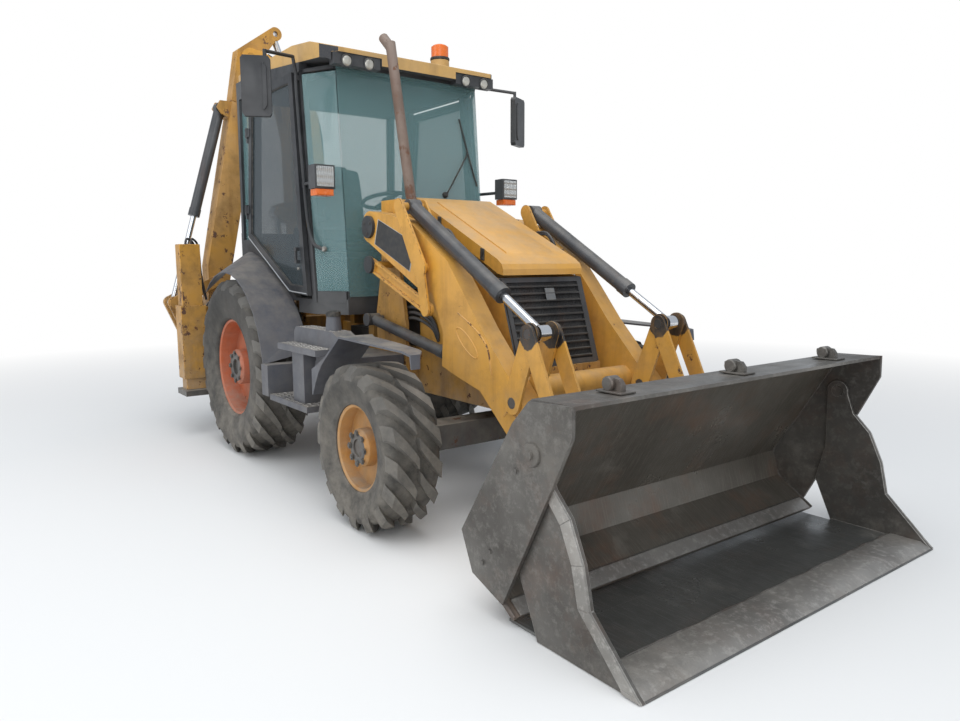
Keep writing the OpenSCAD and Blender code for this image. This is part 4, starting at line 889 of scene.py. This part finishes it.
class BACKHOE_OT_wheels(bpy.types.Operator):
    """Builds the lugged tyres and the bolted rims"""
    bl_idname = "backhoe.wheels"
    bl_label = "Wheels"

    def execute(self, context):
        tall = context.scene.backhoe_sizes.lug
        for which, axle, r, w, rim_r, lugs, paint, hub, nuts in (
                ("rear", REAR_AXLE, 0.69, 0.43, 0.378, 20, "rim_red", 0.14, 0.155),
                ("front", FRONT_AXLE, 0.475, 0.34, 0.249, 16, "rim_yellow", 0.11, 0.125)):
            for sign, side in SIDES:
                centre = Vector((axle.x, sign * axle.y, axle.z))
                self.tyre(f"tyre_{which}_{side}", centre, r, w, rim_r, lugs, tall)
                rim = f"rim_{which}_{side}"
                dress(paint, 0.003, rim)
                middle = drawn(centre)
                repaint(rim, "casting", lambda p, n: abs(p[1]) > 880 and
                        hypot(p[0] - middle[0], p[2] - middle[2]) < hub * 700)
                ring = [centre + Vector((cos(a) * hub * 0.8, sign * nuts, sin(a) * hub * 0.8))
                        for a in (2 * pi * k / 8 for k in range(8))]
                bolts("nuts_" + rim, ring, (0, sign, 0), 0.013, "casting", rim)
        return {"FINISHED"}

    def tyre(self, node, centre, r, w, rim_r, lugs, tall):
        """A round carcass under two rows of lugs, each row half a lug from the other"""
        half = tyre_profile(r, w, rim_r)
        form = bmesh.new()
        lathe(form, [(a, -b) for a, b in reversed(half[1:])] + half, centre, 96)
        settle(shape("carcass_" + node, form, "rubber", 50), node, stands_for=(node,))
        form = bmesh.new()
        lug(form, r, w, 1, tall)
        lug(form, r, w, -1, tall)
        bmesh.ops.rotate(form, cent=(0, 0, 0), matrix=Matrix.Rotation(pi / lugs, 3, "Y"),
                         verts=form.verts[-4 * (LUG_STEPS + 1):])
        bars = shape("tread_" + node, form, "tread", 30)
        through(bars, ring_tree(), Count=lugs, Material=PAINT["tread"])
        bars.data.transform(Matrix.Translation(centre))
        settle(bars, node)


class BACKHOE_OT_loader(bpy.types.Operator):
    """Dresses the loader arms, posts, levers, links and rams"""
    bl_idname = "backhoe.loader"
    bl_label = "Loader"

    def execute(self, context):
        r = context.scene.backhoe_sizes.rounding
        dress("yellow", r, "loader_arms", "loader_posts", "loader_links")
        dress("lever", r, "tilt_levers", "bucket_links")
        dress("ram", 0.002, "lift_barrels", "tilt_barrels")
        dress("chrome", 0.001, "lift_rods", "tilt_rods")
        dress("casting", 0.003, "lever_pins", "link_pins", "bucket_pins")
        # Caps of the arms' root pins, and of the pins that posts and rods share
        repaint("loader_arms", "black", lambda p, n: abs(p[1]) > ARM_SIDE + 1)
        for node in ("loader_posts", "loader_links"):
            repaint(node, "black", lambda p, n: abs(p[1]) > 592 and hypot(p[0] - 1425, p[2] - 1496) < 64)
        for sign, side in SIDES:
            self.arm_trim(sign, side)
        return {"FINISHED"}

    def arm_trim(self, sign, side):
        """A bare black plate, a pressed oval, welds, pipes, cap bolts and hoses on one arm"""
        corners = ((1485, 1793), (1935, 1629), (1872, 1452), (1431, 1632))
        mx, mz = (sum(c[i] for c in corners) / 4 for i in (0, 1))
        for name, share, out in (("pale", 1.0, ARM_SIDE), ("black", 0.965, ARM_SIDE + 0.6)):
            plate(f"arm_plate_{name}_{side}",
                  beside(sign * out, [(mx + (x - mx) * share, mz + (z - mz) * share) for x, z in corners]),
                  (0, sign * 0.0012, 0), "plate_" + name, "loader_arms", 0.0004)
        oval = [(2468 + 98 * cos(a) - 26 * sin(a), 1060 - 64 * cos(a) * 0.8 + 62 * sin(a))
                for a in (2 * pi * k / 16 for k in range(17))]
        for name, points, radius, paint in (
                ("oval", oval, 0.0042, "yellow"),
                ("weld", ((2380, 1225), (2480, 1179), (2592, 1114), (2664, 1037), (2696, 903)), 0.0055, "yellow_edge")):
            hose(f"arm_{name}_{side}", beside(sign * ARM_SIDE, points), radius, paint, "loader_arms", 8)
        hose(f"foot_weld_{side}", beside(sign * ARM_SIDE, (
            (2800, 690), (2826, 716), (2862, 722), (2900, 708), (2926, 680))), 0.005, "yellow_edge", "loader_arms", 8)
        for k in range(2):
            hose(f"arm_pipe_{side}_{k}", beside(sign * 432, [(x, z - 34 - 20 * k) for x, z in (
                (1520, 1815), (1700, 1782), (1900, 1722), (2100, 1608), (2250, 1510), (2330, 1432))]),
                0.006, "bright", "loader_arms", 8)
        bolts(f"cap_bolts_{side}_0", beside(sign * 582, [(1370 + 46 * cos(a), 1746 + 46 * sin(a))
                                                         for a in (0.5, 2.6, 4.7)]),
              (0, sign, 0), 0.009, "casting", "loader_arms")
        # Hose loops of the tilt ram beside the post
        for k in range(2):
            hose(f"ram_hose_{side}_{k}", spots((
                (1862 + 14 * k, 396, 1700 - 20 * k), (1850 + 20 * k, 388, 1620 - 24 * k), (1935, 384, 1545 - 30 * k),
                (2046, 386, 1513 - 26 * k), (2140 - 8 * k, 392, 1548 - 10 * k), (2155 - 14 * k, 398, 1610),
                (2075, 400, 1700 - 12 * k), (1973, 400, 1709 - 16 * k)), sign), 0.009, "hose", "loader_posts")


class BACKHOE_OT_bucket(bpy.types.Operator):
    """Dresses the hinged front bucket"""
    bl_idname = "backhoe.bucket"
    bl_label = "Front bucket"

    def execute(self, context):
        dress("steel", 0.004, "mouldboard", "clam")
        # The board's hollow side and the clam's floor
        repaint("mouldboard", "board_face",
                lambda p, n: abs(p[1]) < CLAM_SIDE and n.x > 0.2 and p[0] > 3330 and p[2] < 985)
        repaint("clam", "floor_steel", lambda p, n: abs(p[1]) < 1129 and n.z > 0.5)
        self.blades()
        self.ends()
        for k, y in enumerate((-820, 0, 820)):
            slab(f"hook_plate_{k}", (3768, 3906), (y - 44, y + 44), BOARD_TOP, 0.009, "steel", "mouldboard", 0.003)
            turned(f"hook_eye_{k}", at(3815, y - 30, 1030), (0, 1, 0), (
                (0, 60), (26, 60), (31, 55), (31, 5), (26, 0)),
                "steel", "mouldboard", 24)
        return {"FINISHED"}

    def blades(self):
        """Blade bar on the board's lower edge, heel plate under it and cutting edge, with their welds"""
        along = Vector((224, 0, -150)).normalized()
        off = Vector((150, 0, 224)).normalized()
        low = at(3611, 0, 51)
        half, tall = 1.125, 0.078
        plate("blade_bar", [low + Vector((0, y, 0)) - along * a for y, a in
                            ((-half, 0), (half, 0), (half, tall), (-half, tall))],
              off * 0.009, "bright", "mouldboard", 0.002)
        hose("blade_weld", [low + Vector((0, y, 0)) - along * 0.082 + off * 0.001
                            for y in (-1.12, -0.8, -0.4, 0.0, 0.4, 0.8, 1.12)], 0.006, "steel", "mouldboard", 8)
        slab("clam_heel", (3540, 3765), (-1126, 1126), 2, 0.013, "floor_steel", "clam", 0.002)
        plate("cutting_edge", beside(-1130, ((4078, 22), (4078, 33), (4236, 33), (4284, 8), (4284, 4))),
              (0, 2.26, 0), "bright", "clam", 0.002)
        rng = random.Random(7)
        hose("edge_weld", [at(4074 + rng.uniform(-4, 4), y, 25 + rng.uniform(-1, 4)) for y in range(-1120, 1121, 56)],
             0.009, "steel", "clam", 8)

    def ends(self):
        """Side cutters, caps, bolts and welds on both ends"""
        outline = ((4290, 4), (4268, 22), (4039, 242), (4002, 408), (3930, 565), (3840, 655))
        inner = ((4205, 4), (4196, 22), (3980, 235), (3944, 392), (3880, 530), (3800, 616))
        for sign, side in SIDES:
            for k in range(len(outline) - 1):
                plate(f"side_cutter_{side}_{k}",
                      beside(sign * CLAM_SIDE, (outline[k], outline[k + 1], inner[k + 1], inner[k])),
                      (0, sign * 0.010, 0), "bright", "clam", 0.0025)
            turned(f"clam_cap_{side}", at(3737, sign * BOARD_SIDE, 775), (0, sign, 0), (
                (0, 22), (17, 22), (19, 12), (45, 11), (48, 7), (48, -3)),
                "steel", "mouldboard", 28)
            bolts(f"side_bolts_{side}", beside(sign * BOARD_SIDE, ((3420, 235), (3470, 300), (3640, 690))),
                  (0, sign, 0), 0.011, "steel", "mouldboard")
            hose(f"end_weld_{side}", beside(sign * (CLAM_SIDE + 5), (
                (3612, 52), (3500, 127), (3390, 204), (3348, 344), (3500, 595), (3668, 872), (3730, 956), (3800, 972),
                (3948, 978))), 0.0065, "steel", "mouldboard", 8)


class BACKHOE_OT_rear(bpy.types.Operator):
    """Dresses the rear frame, its legs and the digging arm"""
    bl_idname = "backhoe.rear"
    bl_label = "Legs and digging arm"

    def execute(self, context):
        r = context.scene.backhoe_sizes.rounding
        dress("dirty_yellow", r, "rear_frame", "carriage", "kingpost", "dipper", "dipper_case", "digging_lever",
              "digging_link", "leg_right", "leg_left")
        dress("yellow", r, "boom")
        dress("ram", 0.002, "boom_barrel", "dipper_barrel", "bucket_barrel")
        dress("chrome", 0.001, "boom_rod", "dipper_rod", "bucket_rod")
        dress("steel", r, "digging_bucket")
        for node in ("leg_right", "leg_left"):
            # The leg's lower end
            repaint(node, "casting", lambda p, n: p[2] < 440)
        # Hoses up the back of the boom, and over each leg
        for k in range(3):
            hose(f"boom_hose_{k}", [at(-1400 + 40 * k, 500 - u, z) for u, z in (
                (255, 930), (238, 1300), (132, 1560), (112, 2000), (98, 2480), (150, 2950), (400, 3345),
                (640, 3478))], 0.012, "hose", "boom")
        for sign, side in SIDES:
            for k in range(2):
                hose(f"leg_hose_{side}_{k}", spots((
                    (-960, 1055 + 45 * k, 1652), (-968, 1052 + 45 * k, 1700), (-985, 1030 + 40 * k, 1716),
                    (-1000, 985 + 30 * k, 1650), (-1000, 970 + 18 * k, 1400), (-985, 940, 1180)), sign),
                    0.010, "hose", "rear_frame")
        return {"FINISHED"}


class BACKHOE_OT_stage(bpy.types.Operator):
    """Sets the camera, the lights and a plain pale floor"""
    bl_idname = "backhoe.stage"
    bl_label = "Camera, lights and floor"

    def execute(self, context):
        scene = context.scene
        scene.view_settings.view_transform = "Standard"
        self.camera(scene)
        self.floor(scene)
        self.sky(scene)
        for name, place, aim, size, power in (
                ("Overhead", (1.5, -1.5, 8.0), (0, 0, 0.5), 8.0, 420),
                ("Front fill", (7.5, -5.5, 3.5), (0.5, 0, 1.0), 5.0, 170),
                ("Side fill", (-1.5, -8.0, 4.0), (-0.5, 0, 1.0), 5.0, 130)):
            lamp = bpy.data.objects.new(name, bpy.data.lights.new(name, "AREA"))
            lamp.data.energy = power
            lamp.data.size = size
            lamp.location = place
            lamp.rotation_euler = (Vector(aim) - Vector(place)).to_track_quat("-Z", "Y").to_euler()
            scene.collection.objects.link(lamp)
        return {"FINISHED"}

    def camera(self, scene):
        """The photograph's view: place, directions and lens fitted to it"""
        eye = bpy.data.objects.new("Camera", bpy.data.cameras.new("Camera"))
        scene.collection.objects.link(eye)
        ahead = Vector((-0.79112, 0.59702, -0.13304))
        right = Vector((0.60277, 0.79791, -0.00372))
        top = Vector((-0.10393, 0.08314, 0.99110))
        turn = Matrix((right, top, -ahead)).transposed()
        eye.matrix_world = Matrix.Translation((4.5231, -3.0266, 1.5217)) @ turn.to_4x4()
        eye.data.lens = 27.97
        eye.data.sensor_width = 36
        scene.camera = eye

    def floor(self, scene):
        """A pale floor that fades to white"""
        far, low, fade_from, fade_to = 60, -0.002, 3.4, 10.0
        mesh = bpy.data.meshes.new("floor")
        mesh.from_pydata([(-far, -far, low), (far, -far, low), (far, far, low), (-far, far, low)], [], [(0, 1, 2, 3)])
        floor = bpy.data.objects.new("floor", mesh)
        scene.collection.objects.link(floor)
        ground, n = new_material("pale_floor")
        shader = n.tree.nodes["Principled BSDF"]
        n.feed(shader, {"Roughness": 0.9, "Base Color": (0.80, 0.80, 0.79)})
        away = n.add("VectorMath", {0: n.place()}, operation="LENGTH").outputs["Value"]
        white = n.add("Emission", {"Color": (1, 1, 1), "Strength": 1.0})
        both = n.add("MixShader", {0: n.between(away, fade_from, fade_to), 1: shader.outputs[0], 2: white.outputs[0]})
        n.feed(n.tree.nodes["Material Output"], {"Surface": both.outputs[0]})
        mesh.materials.append(ground)

    def sky(self, scene):
        """A white backdrop, with cool light from all round"""
        world = bpy.data.worlds.new("Studio")
        scene.world = world
        world.use_nodes = True
        n = Nodes(world.node_tree)
        n.tree.nodes.clear()
        path = n.add("LightPath").outputs
        shown = n.maths("MAXIMUM", path["Is Camera Ray"], path["Is Transmission Ray"])
        light = n.add("Background", {"Color": (0.86, 0.92, 1.0), "Strength": 0.62})
        white = n.add("Background", {"Color": (1, 1, 1), "Strength": 1.0})
        both = n.add("MixShader", {0: shown, 1: light.outputs[0], 2: white.outputs[0]})
        n.add("OutputWorld", {"Surface": both.outputs[0]})


class BACKHOE_PT_panel(bpy.types.Panel):
    """Lists the pieces that can be dressed"""
    bl_idname = "BACKHOE_PT_panel"
    bl_label = "Backhoe loader"
    bl_space_type = "VIEW_3D"
    bl_region_type = "UI"
    bl_category = "Backhoe"

    def draw(self, context):
        for group in (context.scene.backhoe_colours, context.scene.backhoe_sizes):
            for key in group.__annotations__:
                self.layout.prop(group, key)
        for operator in OPERATORS:
            self.layout.operator(operator.bl_idname)


OPERATORS = (BACKHOE_OT_paints, BACKHOE_OT_bodywork, BACKHOE_OT_cab, BACKHOE_OT_cab_inside, BACKHOE_OT_wheels,
             BACKHOE_OT_loader, BACKHOE_OT_bucket, BACKHOE_OT_rear, BACKHOE_OT_stage)
CLASSES = (BackhoeColours, BackhoeSizes, *OPERATORS, BACKHOE_PT_panel)


def register():
    for item in CLASSES:
        bpy.utils.register_class(item)
    bpy.types.Scene.backhoe_colours = bpy.props.PointerProperty(type=BackhoeColours)
    bpy.types.Scene.backhoe_sizes = bpy.props.PointerProperty(type=BackhoeSizes)


def unregister():
    del bpy.types.Scene.backhoe_colours
    del bpy.types.Scene.backhoe_sizes
    for item in reversed(CLASSES):
        bpy.utils.unregister_class(item)


def main():
    register()
    for operator in OPERATORS:
        group, name = operator.bl_idname.split(".")
        getattr(getattr(bpy.ops, group), name)()


if __name__ == "__main__":
    main()
